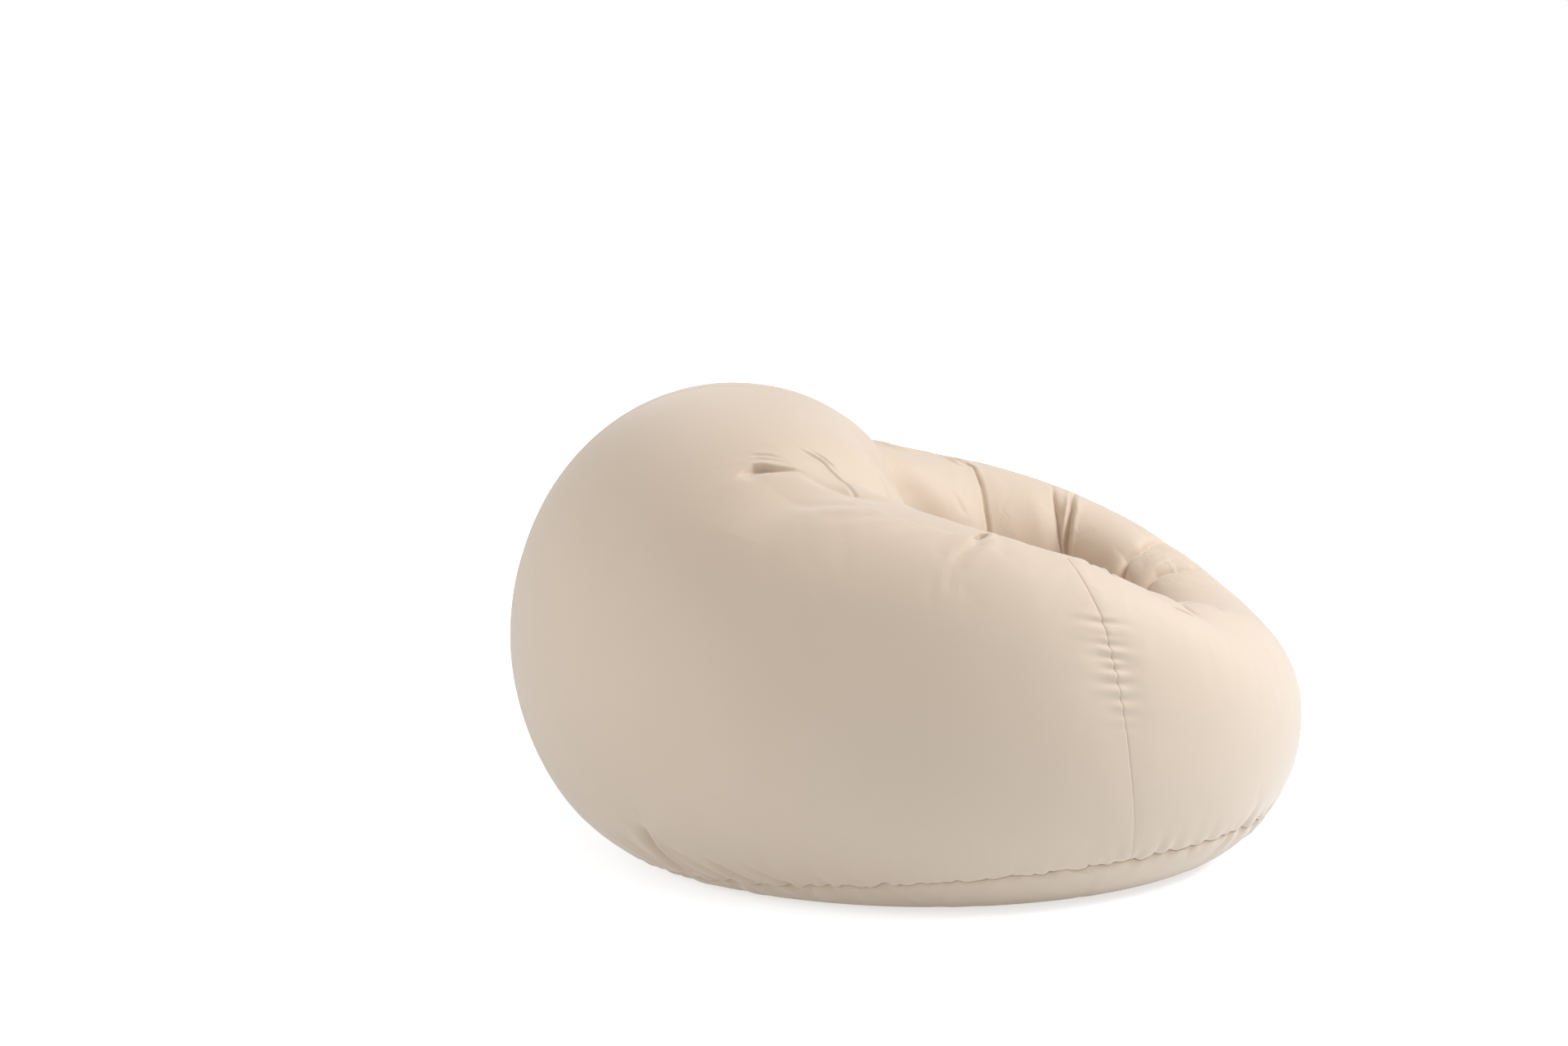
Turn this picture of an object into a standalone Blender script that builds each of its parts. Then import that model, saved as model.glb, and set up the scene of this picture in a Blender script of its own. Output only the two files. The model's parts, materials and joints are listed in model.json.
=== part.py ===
"""Inflatable armchair: a textile cover zipped round a ring-shaped air tube and a seat air cushion.

Metres, +Z up, origin on the floor, sitter facing -Y, so the back of the chair is at +Y. The tube is a
loft round the seat well. It follows five rings: the floor ring it stands on, the widest ring, the crest,
the lip of the well and the foot of the well. Quarter arcs join them, and darts are drawn into its inside.
"""

import math

import bmesh
import bpy
import numpy as np
from mathutils import Matrix, Vector
from mathutils.bvhtree import BVHTree

# Rings of the tube: half width, reach behind the origin, reach in front of it
FLOOR_HALF_WIDTH = 0.390
FLOOR_BACK = 0.3875
FLOOR_FRONT = 0.4425
WIDEST_HALF_WIDTH = 0.550
WIDEST_BACK = 0.6225
WIDEST_FRONT = 0.6225
CREST_HALF_WIDTH = 0.420
CREST_BACK = 0.2775
CREST_FRONT = 0.4725
LIP_HALF_WIDTH = 0.250
LIP_BACK = -0.0275
LIP_FRONT = 0.3775
FOOT_HALF_WIDTH = 0.330
FOOT_BACK = 0.3075
FOOT_FRONT = 0.3625

# Heights of the rings at the back and at the front, and how each falls in between, every 30 degrees
WIDEST_BACK_HEIGHT = 0.335
WIDEST_FRONT_HEIGHT = 0.215
CREST_BACK_HEIGHT = 0.730
CREST_FRONT_HEIGHT = 0.385
LIP_BACK_HEIGHT = 0.420
LIP_FRONT_HEIGHT = 0.270
WIDEST_HEIGHT_SHARES = (1.0, 0.93, 0.79, 0.667, 0.39, 0.125, 0.0)
CREST_HEIGHT_SHARES = (1.0, 0.884, 0.638, 0.493, 0.348, 0.145, 0.0)
LIP_HEIGHT_SHARES = (1.0, 0.953, 0.82, 0.633, 0.387, 0.12, 0.0)

# Exponents of the quarter arcs, where 2 is an ellipse: lower, upper, inner and under
LOWER_BACK_SHARE = 1.90
LOWER_FRONT_SHARE = 2.00
UPPER_SHARE = 2.00
INNER_SHARE = 2.10
UNDER_SHARE = 2.00
LIP_CORNER_SHARE = 0.06

# Darts of the well, by angle from the back, and the deep pinch where the arm meets the back
DART_ANGLES_DEG = (47.0, 92.0, 120.0, 148.0, 160.0)
DART_DEPTH = 0.018
PINCH_DEPTH = 0.042
DART_WIDTH_DEG = 4.0
PINCH_WIDTH_DEG = 6.0
PINCH_DART = 0
SIDE_SEAM_DART = 2
SEAM_LEAN_DEG = 9.0
MOST_LINE_STEP_DEG = 12.0

# Seams and cloth
BASE_SEAM_BACK_HEIGHT = 0.006
BASE_SEAM_SIDE_HEIGHT = 0.058
BASE_SEAM_FRONT_HEIGHT = 0.082
SEAT_HEIGHT = 0.170
SEAT_CROWN = 0.028
SEAT_CROWN_RINGS = 4
CLOTH_THICKNESS = 0.0010
FILM_THICKNESS = 0.0006
CLOTH_GAP = 0.0005
SEAM_GAP = 0.0003
BASE_ROWS = 2
LOW_ROWS = 3
UPPER_ROWS = 4
INNER_ROWS = 4
UNDER_ROWS = 2
BLADDER_ROWS = (1, 3, 4, 4, 2, 1, 1)

# Middle of the base, lifted clear of the floor for the zip
BASE_LIFT = 0.012
LIFT_HALF_WIDTH = 0.290
LIFT_BACK = 0.2275
LIFT_FRONT = 0.3325
LIFT_SHARE = 0.88
ZIP_LENGTH = 0.440
ZIP_CENTRE_Y = -0.0425
ZIP_SLOT_WIDTH = 0.014
TAPE_WIDTH = 0.014
TAPE_THICKNESS = 0.0006
TOOTH_PITCH = 0.0080
TOOTH_HEIGHT = 0.0024
TOOTH_CLEARANCE = 0.00045
TOOTH_OVERLAP = 0.0011
TOOTH_REACH = 0.0033
TOOTH_RAIL = 0.0010
STOP_LENGTH = 0.0040
SLIDER_LENGTH = 0.0150
SLIDER_PLATE = 0.0012
SLIDER_WIDTH = 0.0100
SLIDER_POST_LENGTH = 0.0030
SLIDER_POST_WIDTH = 0.0040
SLIDER_CORNER = 0.0020
BAIL_WIRE = 0.0014
BAIL_LEG = 0.0012
BAIL_RADIUS = 0.0040
BAIL_STEPS = 10
PULL_LENGTH = 0.0260
PULL_WIDTH = 0.0080
PULL_THICKNESS = 0.0012
PULL_EYE_CLEARANCE = 0.0005
PULL_RIM = 0.0012
PULL_GRIP_RADIUS = 0.0016
RUNNING_GAP = 0.0003

# Air valves
FLANGE_RADIUS = 0.0240
FLANGE_THICKNESS = 0.0016
NECK_RADIUS = 0.0140
NECK_WALL = 0.0018
NECK_HEIGHT = 0.0105
NECK_DEPTH = 0.0080
CORE_WALL = 0.0016
CORE_RIM_RADIUS = 0.0172
CORE_RIM_THICKNESS = 0.0020
CORE_BOSS_RADIUS = 0.0100
CORE_BOSS_HEIGHT = 0.0060
CORE_SPOKE_WIDTH = 0.0022
FLAP_THICKNESS = 0.0008
FLAP_STEM_RADIUS = 0.0016
CAP_WALL = 0.0015
CAP_RIB_DEPTH = 0.0007
CAP_GROOVES = 12
CAP_GROOVE_RADIUS = 0.0012
CAP_GROOVE_STEPS = 6
FLANGE_RAY_RINGS = 3
TETHER_WIDTH = 0.0030
TETHER_THICKNESS = 0.0012
STRAP_INSET = 0.0001
PORT_CLEARANCE = 0.0020
PATCH_WIDTH = 0.0080
PATCH_THICKNESS = 0.0008
ROUND_STEPS = 20
RING_VALVE_ANGLE_DEG = -13.0
RING_VALVE_ARC_SHARE = 0.52
SEAT_VALVE_X = 0.090
SEAT_VALVE_Y = -0.1425
CUT_OVERRUN = 0.0100

SEAT_BLADDER_FLOOR_GAP = 0.034
SEAT_BLADDER_CLEARANCE = 0.016
SEAT_BLADDER_ROUND_SHARES = ((0.86, 0.0), (0.965, 0.25), (1.0, 0.55), (0.965, 0.82))
SEAT_BLADDER_TOP_SHARES = (0.75, 0.50)

COLLECTION = "inflatable_armchair"
CUTTERS = "cutters"

# Places and steps of the loft
ARC_COUNT = 5
LEAN_ARCS = (0, 1, 2, 3, 4, 5)
LEAN_SHARES = (1, 0, -1, -1, 0, 1)
FADE_ARCS = (1.9, 2.2, 2.6, 3.3, 4.0)
FADE_SHARES = (0.0, 0.67, 1.0, 0.6, 0.0)
PINCH_FADE_ARCS = (1.7, 2.0, 2.6, 3.3, 4.0)
PINCH_FADE_SHARES = (0.0, 0.45, 1.0, 0.6, 0.0)
PROBE = 0.01
WELD = 0.00001
SMOOTH_ANGLE = math.radians(40)

# Where the zip starts and ends, and the middle of its teeth
ZIP_FRONT_Y = ZIP_CENTRE_Y - ZIP_LENGTH / 2
ZIP_BACK_Y = ZIP_CENTRE_Y + ZIP_LENGTH / 2
TAPE_BASE = BASE_LIFT + CLOTH_THICKNESS + RUNNING_GAP
TOOTH_MIDDLE = TAPE_BASE + TAPE_THICKNESS / 2


def along_ring(shares, back, front, angle):
    """Height at an angle from the back: an even cosine series through the heights at the ring's stations."""
    orders = np.arange(len(shares))
    stations = np.linspace(0, math.pi, len(shares))
    series = np.linalg.solve(np.cos(np.outer(stations, orders)), np.asarray(shares))
    return front + (back - front) * (np.cos(np.multiply.outer(angle, orders)) @ series)


def ring_plan(half_width, back, front, angle, corner_share=0):
    """x and y on a ring: an ellipse, whose two back corners may be filled out by a share."""
    centre = (front - back) / 2
    reach = (front + back) / 2
    fill = 1 + corner_share * np.sin(2 * angle) ** 2 * (np.cos(angle) > 0)
    return -half_width * np.sin(angle) * fill, reach * np.cos(angle) * fill - centre


def rings(angle):
    """The five rings at these angles, as arrays of points, from the floor ring to the foot of the well."""
    floor = ring_plan(FLOOR_HALF_WIDTH, FLOOR_BACK, FLOOR_FRONT, angle)
    widest = ring_plan(WIDEST_HALF_WIDTH, WIDEST_BACK, WIDEST_FRONT, angle)
    crest = ring_plan(CREST_HALF_WIDTH, CREST_BACK, CREST_FRONT, angle)
    lip = ring_plan(LIP_HALF_WIDTH, LIP_BACK, LIP_FRONT, angle, LIP_CORNER_SHARE)
    foot = ring_plan(FOOT_HALF_WIDTH, FOOT_BACK, FOOT_FRONT, angle)
    heights = (
        np.zeros_like(angle),
        along_ring(WIDEST_HEIGHT_SHARES, WIDEST_BACK_HEIGHT, WIDEST_FRONT_HEIGHT, angle),
        along_ring(CREST_HEIGHT_SHARES, CREST_BACK_HEIGHT, CREST_FRONT_HEIGHT, angle),
        along_ring(LIP_HEIGHT_SHARES, LIP_BACK_HEIGHT, LIP_FRONT_HEIGHT, angle),
        np.zeros_like(angle),
    )
    plans = (floor, widest, crest, lip, foot)
    return [np.stack([*plan, height], axis=-1) for plan, height in zip(plans, heights)]


def roundness(angle):
    """Exponents of the four quarter arcs at these angles."""
    backness = (1 + np.cos(angle)) / 2
    lower = LOWER_FRONT_SHARE + (LOWER_BACK_SHARE - LOWER_FRONT_SHARE) * backness
    return [lower, UPPER_SHARE, INNER_SHARE, UNDER_SHARE]


def lean_angle(line, arc):
    """Angle round the well of a seam line. The lines lean to the front at the floor and back at the crest."""
    lean = np.interp(arc, LEAN_ARCS, LEAN_SHARES) * math.radians(SEAM_LEAN_DEG)
    return line + lean * np.sin(line) * np.abs(np.sin(line))


def plain_tube(line, arc):
    """Tube without darts, by seam line and by arc position: 0 floor, 1 widest, 2 crest, 3 lip, 4 foot, 5 floor."""
    arc = np.where(arc < 0, arc + ARC_COUNT, np.where(arc > ARC_COUNT, arc - ARC_COUNT, arc))
    angle = lean_angle(line, arc)
    ring_points = rings(angle)
    result = np.zeros(angle.shape + (3,))
    for quarter, exponent in enumerate(roundness(angle)):
        start, end = ring_points[quarter], ring_points[quarter + 1]
        turn = np.clip(arc - quarter, 0, 1) * math.pi / 2
        rise = np.clip(np.sin(turn), 0, 1) ** (2 / exponent)
        fall = 1 - np.clip(np.cos(turn), 0, 1) ** (2 / exponent)
        leaves_level = quarter % 2 == 0
        across, up = (rise, fall) if leaves_level else (fall, rise)
        share = np.stack([across, across, up], axis=-1)
        inside = (arc >= quarter) & (arc <= quarter + 1)
        result = np.where(inside[..., None], start + (end - start) * share, result)
    on_floor = arc > ARC_COUNT - 1
    flat = ring_points[4] + (ring_points[0] - ring_points[4]) * (arc - ARC_COUNT + 1)[..., None]
    return np.where(on_floor[..., None], flat, result)


def normals(surface, line, arc):
    """Outward unit normals of a surface function, from its central differences."""
    along = surface(line + PROBE, arc) - surface(line - PROBE, arc)
    across = surface(line, arc + PROBE) - surface(line, arc - PROBE)
    normal = np.cross(along, across)
    return normal / np.linalg.norm(normal, axis=-1, keepdims=True)


def dart_depth(line, arc):
    """How far the darts draw the surface in: a bell across each dart, fading out over the crest and the foot."""
    depth = np.zeros_like(line)
    from_back = np.degrees(np.arccos(np.cos(line)))
    for number, centre in enumerate(DART_ANGLES_DEG):
        pinch = number == PINCH_DART
        deep = PINCH_DEPTH if pinch else DART_DEPTH
        width = PINCH_WIDTH_DEG if pinch else DART_WIDTH_DEG
        arcs, shares = (PINCH_FADE_ARCS, PINCH_FADE_SHARES) if pinch else (FADE_ARCS, FADE_SHARES)
        depth += deep * np.exp(-(((from_back - centre) / width) ** 2)) * np.interp(arc, arcs, shares)
    return depth


def tube(line, arc):
    """Outer surface of the cover: the plain tube with its darts drawn in."""
    return plain_tube(line, arc) - normals(plain_tube, line, arc) * dart_depth(line, arc)[..., None]


def offset_tube(line, arc, depth):
    """The same surface, this far inside it."""
    return tube(line, arc) - normals(tube, line, arc) * depth


def seam_lines():
    """Angles of the lengthwise grid lines of one half: each dart's middle and shoulders, and lines between."""
    marks = {0.0, 180.0}
    for number, centre in enumerate(DART_ANGLES_DEG):
        width = PINCH_WIDTH_DEG if number == PINCH_DART else DART_WIDTH_DEG
        marks |= {centre - width, centre, centre + width}
    marks = sorted(marks)
    lines = []
    for start, end in zip(marks, marks[1:]):
        steps = math.ceil((end - start) / MOST_LINE_STEP_DEG)
        lines += list(np.linspace(start, end, steps + 1)[:-1])
    return np.radians(lines + [marks[-1]])


def base_seam_arc(line):
    """Arc position of the base seam, which climbs from the floor at the back to the front."""
    mean = (BASE_SEAM_BACK_HEIGHT + BASE_SEAM_FRONT_HEIGHT) / 2
    first = (BASE_SEAM_BACK_HEIGHT - BASE_SEAM_FRONT_HEIGHT) / 2
    second = (mean - BASE_SEAM_SIDE_HEIGHT) / 2
    height = mean - second + first * np.cos(line) + second * np.cos(2 * line)
    widest = along_ring(WIDEST_HEIGHT_SHARES, WIDEST_BACK_HEIGHT, WIDEST_FRONT_HEIGHT, line)
    return np.arccos((1 - height / widest) ** (roundness(line)[0] / 2)) * 2 / math.pi


def seat_seam_arc(line):
    """Arc position of the seat seam, level at the seat's height below the lip."""
    lip = along_ring(LIP_HEIGHT_SHARES, LIP_BACK_HEIGHT, LIP_FRONT_HEIGHT, line)
    return 3 + np.arcsin((1 - SEAT_HEIGHT / lip) ** (UNDER_SHARE / 2)) * 2 / math.pi


def rows_between(start, end, count):
    """Arc positions of count rows from one curve to another, without the last."""
    shares = np.arange(count)[:, None] / count
    return start[None] + (end - start)[None] * shares


def cover_arcs(line):
    """Rows of the cover's walls, from the base seam over the crest to the seat seam."""
    ones = np.ones_like(line)
    seam_shift = SEAM_GAP / CREST_HALF_WIDTH
    return np.concatenate([
        rows_between(base_seam_arc(line) + seam_shift, ones, LOW_ROWS),
        rows_between(ones, 2 * ones, UPPER_ROWS),
        rows_between(2 * ones, 3 * ones, INNER_ROWS),
        rows_between(3 * ones, seat_seam_arc(line) - seam_shift, UNDER_ROWS),
        (seat_seam_arc(line) - seam_shift)[None],
    ])


def bladder_arcs(line):
    """Rows of the whole tube, each at a row of the cover, so that its facets lie inside the cover's."""
    ones = np.ones_like(line)
    marks = [0 * ones, base_seam_arc(line), ones, 2 * ones, 3 * ones, seat_seam_arc(line), 4 * ones, 5 * ones]
    stretches = zip(marks, marks[1:], BLADDER_ROWS)
    return np.concatenate([rows_between(start, end, count) for start, end, count in stretches])


def material(name, colour, roughness_value, metallic=0):
    """A Principled material of one colour."""
    made = bpy.data.materials.new(name)
    made.use_nodes = True
    shader = made.node_tree.nodes["Principled BSDF"]
    shader.inputs["Base Color"].default_value = (*colour, 1)
    shader.inputs["Roughness"].default_value = roughness_value
    shader.inputs["Metallic"].default_value = metallic
    made.diffuse_color = (*colour, 1)
    return made


def collection(name):
    """A new collection in the scene."""
    made = bpy.data.collections.new(name)
    bpy.context.scene.collection.children.link(made)
    return made


def add_object(name, mesh, finish=None, smooth=False):
    """Puts a mesh in the object's collection, or with the cutters when it has no finish."""
    made = bpy.data.objects.new(name, mesh)
    if finish:
        mesh.materials.append(finish)
        parts.objects.link(made)
    else:
        cutters.objects.link(made)
        made.hide_render = True
        made.display_type = "WIRE"
    if smooth:
        mesh.shade_smooth()
        mesh.set_sharp_from_angle(angle=SMOOTH_ANGLE)
    return made


def finish_mesh(name, shape):
    """A mesh from a bmesh, welded, with its faces pointing out."""
    bmesh.ops.remove_doubles(shape, verts=shape.verts, dist=WELD)
    bmesh.ops.recalc_face_normals(shape, faces=shape.faces)
    mesh = bpy.data.meshes.new(name)
    shape.to_mesh(mesh)
    shape.free()
    return mesh


def grid_faces(index, lines, wraps_rows, wraps_columns):
    """Triangles of a grid of point numbers, closed on itself where it wraps.

    Surfaces that lie close to each other split their cells along the same diagonals, so they stay
    parallel. The diagonals of the left half mirror those of the right.
    """
    if wraps_rows:
        index = np.vstack([index, index[:1]])
    if wraps_columns:
        index = np.hstack([index, index[:, :1]])
    near, along, far, across = index[:-1, :-1], index[:-1, 1:], index[1:, 1:], index[1:, :-1]
    on_left = (np.sin(lines + PROBE) < 0)[: near.shape[1]]
    halves = [
        np.stack([near, along, np.where(on_left, across, far)], axis=-1),
        np.stack([np.where(on_left, along, near), far, across], axis=-1),
    ]
    return np.concatenate(halves).reshape(-1, 3)


def shell_mesh(name, lines, outer, inner, wraps=False):
    """A closed panel between two grids of points that face each other, walled along its rims.

    A panel that wraps has one rim, its first row, and its last row is a single point.
    """
    rows, columns = outer.shape[:2]
    count = rows * columns
    index = np.arange(count).reshape(rows, columns)
    if wraps:
        rim = index[0]
    else:
        rim = np.concatenate([index[0, :-1], index[:-1, -1], index[-1, :0:-1], index[:0:-1, 0]])
    after = np.roll(rim, -1)
    sheet = grid_faces(index, lines, False, wraps)
    walls = np.stack([rim, after, after + count, rim + count], axis=-1)
    points = np.concatenate([outer.reshape(-1, 3), inner.reshape(-1, 3)])
    shape = bmesh.new()
    verts = [shape.verts.new(point) for point in points]
    for face in [*sheet, *(sheet[:, ::-1] + count), *walls]:
        shape.faces.new([verts[corner] for corner in face])
    return finish_mesh(name, shape)


def surface_mesh(name, lines, points, wraps_rows):
    """A surface from one grid of points that closes round the well."""
    mesh = bpy.data.meshes.new(name)
    index = np.arange(points.shape[0] * points.shape[1]).reshape(points.shape[:2])
    faces = grid_faces(index, lines, wraps_rows, True)
    mesh.from_pydata(points.reshape(-1, 3).tolist(), [], faces.tolist())
    shape = bmesh.new()
    shape.from_mesh(mesh)
    bpy.data.meshes.remove(mesh)
    return finish_mesh(name, shape)


def boolean(target, tool, operation="DIFFERENCE"):
    """Cuts or joins with another object, which stays with the cutters."""
    modifier = target.modifiers.new(operation.lower(), "BOOLEAN")
    modifier.operation = operation
    modifier.object = tool
    modifier.solver = "EXACT"


def solidify(target, thickness):
    """Gives an open surface its wall, inwards."""
    modifier = target.modifiers.new("wall", "SOLIDIFY")
    modifier.thickness = thickness
    modifier.offset = -1


def bevel(target, width, segments=2):
    """Rounds the edges that stand up, such as a plate's corners."""
    modifier = target.modifiers.new("round", "BEVEL")
    modifier.width = width
    modifier.segments = segments
    modifier.limit_method = "ANGLE"


def turned(name, profile, finish=None):
    """A solid turned round Z from radii and heights, outer side first and downwards.

    The profile closes on itself, except where it starts and ends on the axis.
    """
    mesh = bpy.data.meshes.new(name)
    points = [(radius, 0, height) for radius, height in profile]
    edge_count = len(points) if profile[0][0] else len(points) - 1
    edges = [(number, (number + 1) % len(points)) for number in range(edge_count)]
    mesh.from_pydata(points, edges, [])
    made = add_object(name, mesh, finish)
    screw = made.modifiers.new("turn", "SCREW")
    screw.steps = ROUND_STEPS
    screw.render_steps = ROUND_STEPS
    screw.use_merge_vertices = True
    screw.merge_threshold = WELD
    screw.use_smooth_shade = False
    return made


def add_bar(shape, radius, steps, low, high, frame):
    """Adds a round bar between two heights of a frame to a bmesh."""
    bmesh.ops.create_cone(
        shape,
        cap_ends=True,
        segments=steps,
        radius1=radius,
        radius2=radius,
        depth=high - low,
        matrix=frame @ Matrix.Translation((0, 0, (low + high) / 2)),
    )


def cylinder(name, radius, low, high, along=0):
    """A round cutter between two heights, its axis this far along Y."""
    shape = bmesh.new()
    add_bar(shape, radius, ROUND_STEPS, low, high, Matrix.Translation((0, along, 0)))
    return add_object(name, finish_mesh(name, shape))


def block(name, low, high, finish=None):
    """A box between two corners."""
    low, high = Vector(low), Vector(high)
    shape = bmesh.new()
    placed = Matrix.Translation((low + high) / 2) @ Matrix.Diagonal((*(high - low), 1))
    bmesh.ops.create_cube(shape, size=1, matrix=placed)
    return add_object(name, finish_mesh(name, shape), finish)


def plate(name, outline, low, high, finish=None):
    """A flat outline of x and y, extruded from one height to another."""
    shape = bmesh.new()
    face = shape.faces.new([shape.verts.new((x, y, low)) for x, y in outline])
    grown = bmesh.ops.extrude_face_region(shape, geom=[face])["geom"]
    risen = [part for part in grown if isinstance(part, bmesh.types.BMVert)]
    bmesh.ops.translate(shape, vec=(0, 0, high - low), verts=risen)
    return add_object(name, finish_mesh(name, shape), finish)


def wire(name, points, radius):
    """A bent round wire through these points, as a mesh, so that it can be joined to another solid."""
    curve = bpy.data.curves.new(name, "CURVE")
    curve.dimensions = "3D"
    curve.bevel_depth = radius
    curve.bevel_resolution = 2
    curve.use_fill_caps = True
    spline = curve.splines.new("POLY")
    spline.points.add(len(points) - 1)
    for target, point in zip(spline.points, points):
        target.co = (*point, 1)
    drawn = bpy.data.objects.new(name, curve)
    cutters.objects.link(drawn)
    graph = bpy.context.evaluated_depsgraph_get()
    shape = bmesh.new()
    shape.from_mesh(bpy.data.meshes.new_from_object(drawn.evaluated_get(graph)))
    bpy.data.objects.remove(drawn)
    return add_object(name, finish_mesh(name, shape))


def signed(lines, side):
    """The lines of one half, or of both when side is zero, from the left side of the back to the right."""
    if side:
        return np.sort(side * lines)
    return np.concatenate([-lines[:0:-1], lines])


def panel(name, lines, finish):
    """One wall panel of the cover between its first and last seam line."""
    edge = SEAM_GAP / (2 * CREST_HALF_WIDTH)
    lines = lines.copy()
    lines[0] += edge
    lines[-1] -= edge
    arcs = cover_arcs(lines)
    line_grid = np.broadcast_to(lines, arcs.shape)
    outer = tube(line_grid, arcs)
    inner = offset_tube(line_grid, arcs, CLOTH_THICKNESS)
    return add_object(name, shell_mesh(name, lines, outer, inner), finish, smooth=True)


def make_cover(finish):
    """Side panels from the back seam to the side seams, the front panel, and the seat panel."""
    half = seam_lines()
    seam = math.radians(DART_ANGLES_DEG[SIDE_SEAM_DART])
    back = half[half <= seam + PROBE]
    front = half[half >= seam - PROBE]
    right = panel("cover_side_right", back, finish)
    left = panel("cover_side_left", signed(back, -1), finish)
    around = np.concatenate([front, 2 * math.pi - front[-2::-1]])
    panel("cover_front", around, finish)
    make_seat_panel(finish)
    return right, left


def seat_outline():
    """Seam lines all round the seat, the points of its seam on them, and their middle."""
    lines = signed(seam_lines(), 0)[1:]
    outline = tube(lines, seat_seam_arc(lines))
    middle = np.array((0, (outline[:, 1].max() + outline[:, 1].min()) / 2, SEAT_HEIGHT))
    return lines, outline, middle


def seat_height(share):
    """Height of the crowned seat at a share of the way from its middle to the seam."""
    return SEAT_HEIGHT + SEAT_CROWN * (1 - share**2)


def make_seat_panel(finish):
    """The seat: rings that shrink to the middle and rise to the crown."""
    lines, outline, middle = seat_outline()
    rim_share = 1 - (CLOTH_THICKNESS + SEAM_GAP) / LIP_HALF_WIDTH
    shares = np.linspace(rim_share, 0, SEAT_CROWN_RINGS + 1)[:, None]
    points = middle + (outline - middle)[None] * shares[..., None]
    points[..., 2] = seat_height(shares)
    lower = points - np.array((0, 0, CLOTH_THICKNESS))
    mesh = shell_mesh("cover_seat", lines, points, lower, wraps=True)
    add_object("cover_seat", mesh, finish, smooth=True)


def base_points(lines):
    """Underside of the base, from the base seam under the tube to the lifted middle, row by row."""
    seam_shift = SEAM_GAP / CREST_HALF_WIDTH
    seam = base_seam_arc(lines) - seam_shift
    arcs = rows_between(seam, 0 * lines, BASE_ROWS)
    rolled = tube(np.broadcast_to(lines, arcs.shape), arcs)
    inner = offset_tube(np.broadcast_to(lines, arcs.shape), arcs, CLOTH_THICKNESS)
    rows = []
    for arc in (ARC_COUNT, ARC_COUNT - 1):
        rows.append(plain_tube(lines, np.full_like(lines, arc)))
    for share, height in ((1, 0), (LIFT_SHARE, BASE_LIFT), (0, BASE_LIFT)):
        x, y = ring_plan(LIFT_HALF_WIDTH * share, *lift_reach(share), lines)
        rows.append(np.stack([x, y, np.full_like(x, height)], axis=-1))
    flat = np.stack(rows)
    above = flat + np.array((0, 0, CLOTH_THICKNESS))
    return np.concatenate([rolled, flat]), np.concatenate([inner, above])


def lift_reach(share):
    """Reach behind and in front of the origin of the lifted middle, shrunk about its centre."""
    centre = (LIFT_FRONT - LIFT_BACK) / 2
    reach = (LIFT_FRONT + LIFT_BACK) / 2 * share
    return reach - centre, reach + centre


def make_base(finish):
    """The two halves of the base, with the slot for the zip cut along their shared edge."""
    low = (-ZIP_SLOT_WIDTH / 2, ZIP_FRONT_Y, -CUT_OVERRUN)
    high = (ZIP_SLOT_WIDTH / 2, ZIP_BACK_Y, BASE_LIFT + CUT_OVERRUN)
    slot = block("zip_slot_cutter", low, high)
    for name, side in (("base_panel_right", 1), ("base_panel_left", -1)):
        lines = signed(seam_lines(), side)
        outer, inner = base_points(lines)
        for points in (outer, inner):
            points[..., 0] = -side * np.maximum(-side * points[..., 0], SEAM_GAP / 2)
        half = add_object(name, shell_mesh(name, lines, outer, inner), finish, smooth=True)
        boolean(half, slot)


def make_ring_bladder(finish):
    """The air tube: the same loft as the cover, inside it, with a film wall."""
    lines = signed(seam_lines(), 0)[1:]
    arcs = bladder_arcs(lines)
    points = offset_tube(np.broadcast_to(lines, arcs.shape), arcs, CLOTH_THICKNESS + CLOTH_GAP)
    mesh = surface_mesh("ring_bladder", lines, points, True)
    made = add_object("ring_bladder", mesh, finish, smooth=True)
    solidify(made, FILM_THICKNESS)
    return made


def make_seat_bladder(finish):
    """The seat cushion's bladder: a flat-bottomed loft of the seat's outline with a crowned top."""
    lines, outline, middle = seat_outline()
    fit_share = 1 - SEAT_BLADDER_CLEARANCE / LIP_HALF_WIDTH
    bottom = BASE_LIFT + SEAT_BLADDER_FLOOR_GAP
    top = SEAT_HEIGHT - CLOTH_THICKNESS - CLOTH_GAP
    rows = [(0, bottom)]
    rows += [(share, bottom + rise * (top - bottom)) for share, rise in SEAT_BLADDER_ROUND_SHARES]
    rows += [(share, seat_height(share) - CLOTH_THICKNESS - CLOTH_GAP) for share in SEAT_BLADDER_TOP_SHARES]
    rows += [(0, seat_height(0) - CLOTH_THICKNESS - CLOTH_GAP)]
    shares = np.array([share for share, _ in rows])[:, None, None] * fit_share
    points = middle + (outline - middle)[None] * shares
    points[..., 2] = np.array([height for _, height in rows])[:, None]
    mesh = surface_mesh("seat_bladder", lines, points, False)
    made = add_object("seat_bladder", mesh, finish, smooth=True)
    solidify(made, FILM_THICKNESS)
    return made, bottom


def place_all(prefix, frame):
    """Moves the pieces and cutters of this name, made round the origin, to their place in the chair."""
    for made in list(parts.objects) + list(cutters.objects):
        if made.name.startswith(prefix):
            made.matrix_world = frame


def axis_frame(origin, axis):
    """A frame at the origin whose +Z runs along the axis."""
    turn = Vector((0, 0, 1)).rotation_difference(Vector(axis)).to_matrix().to_4x4()
    return Matrix.Translation(origin) @ turn


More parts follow.
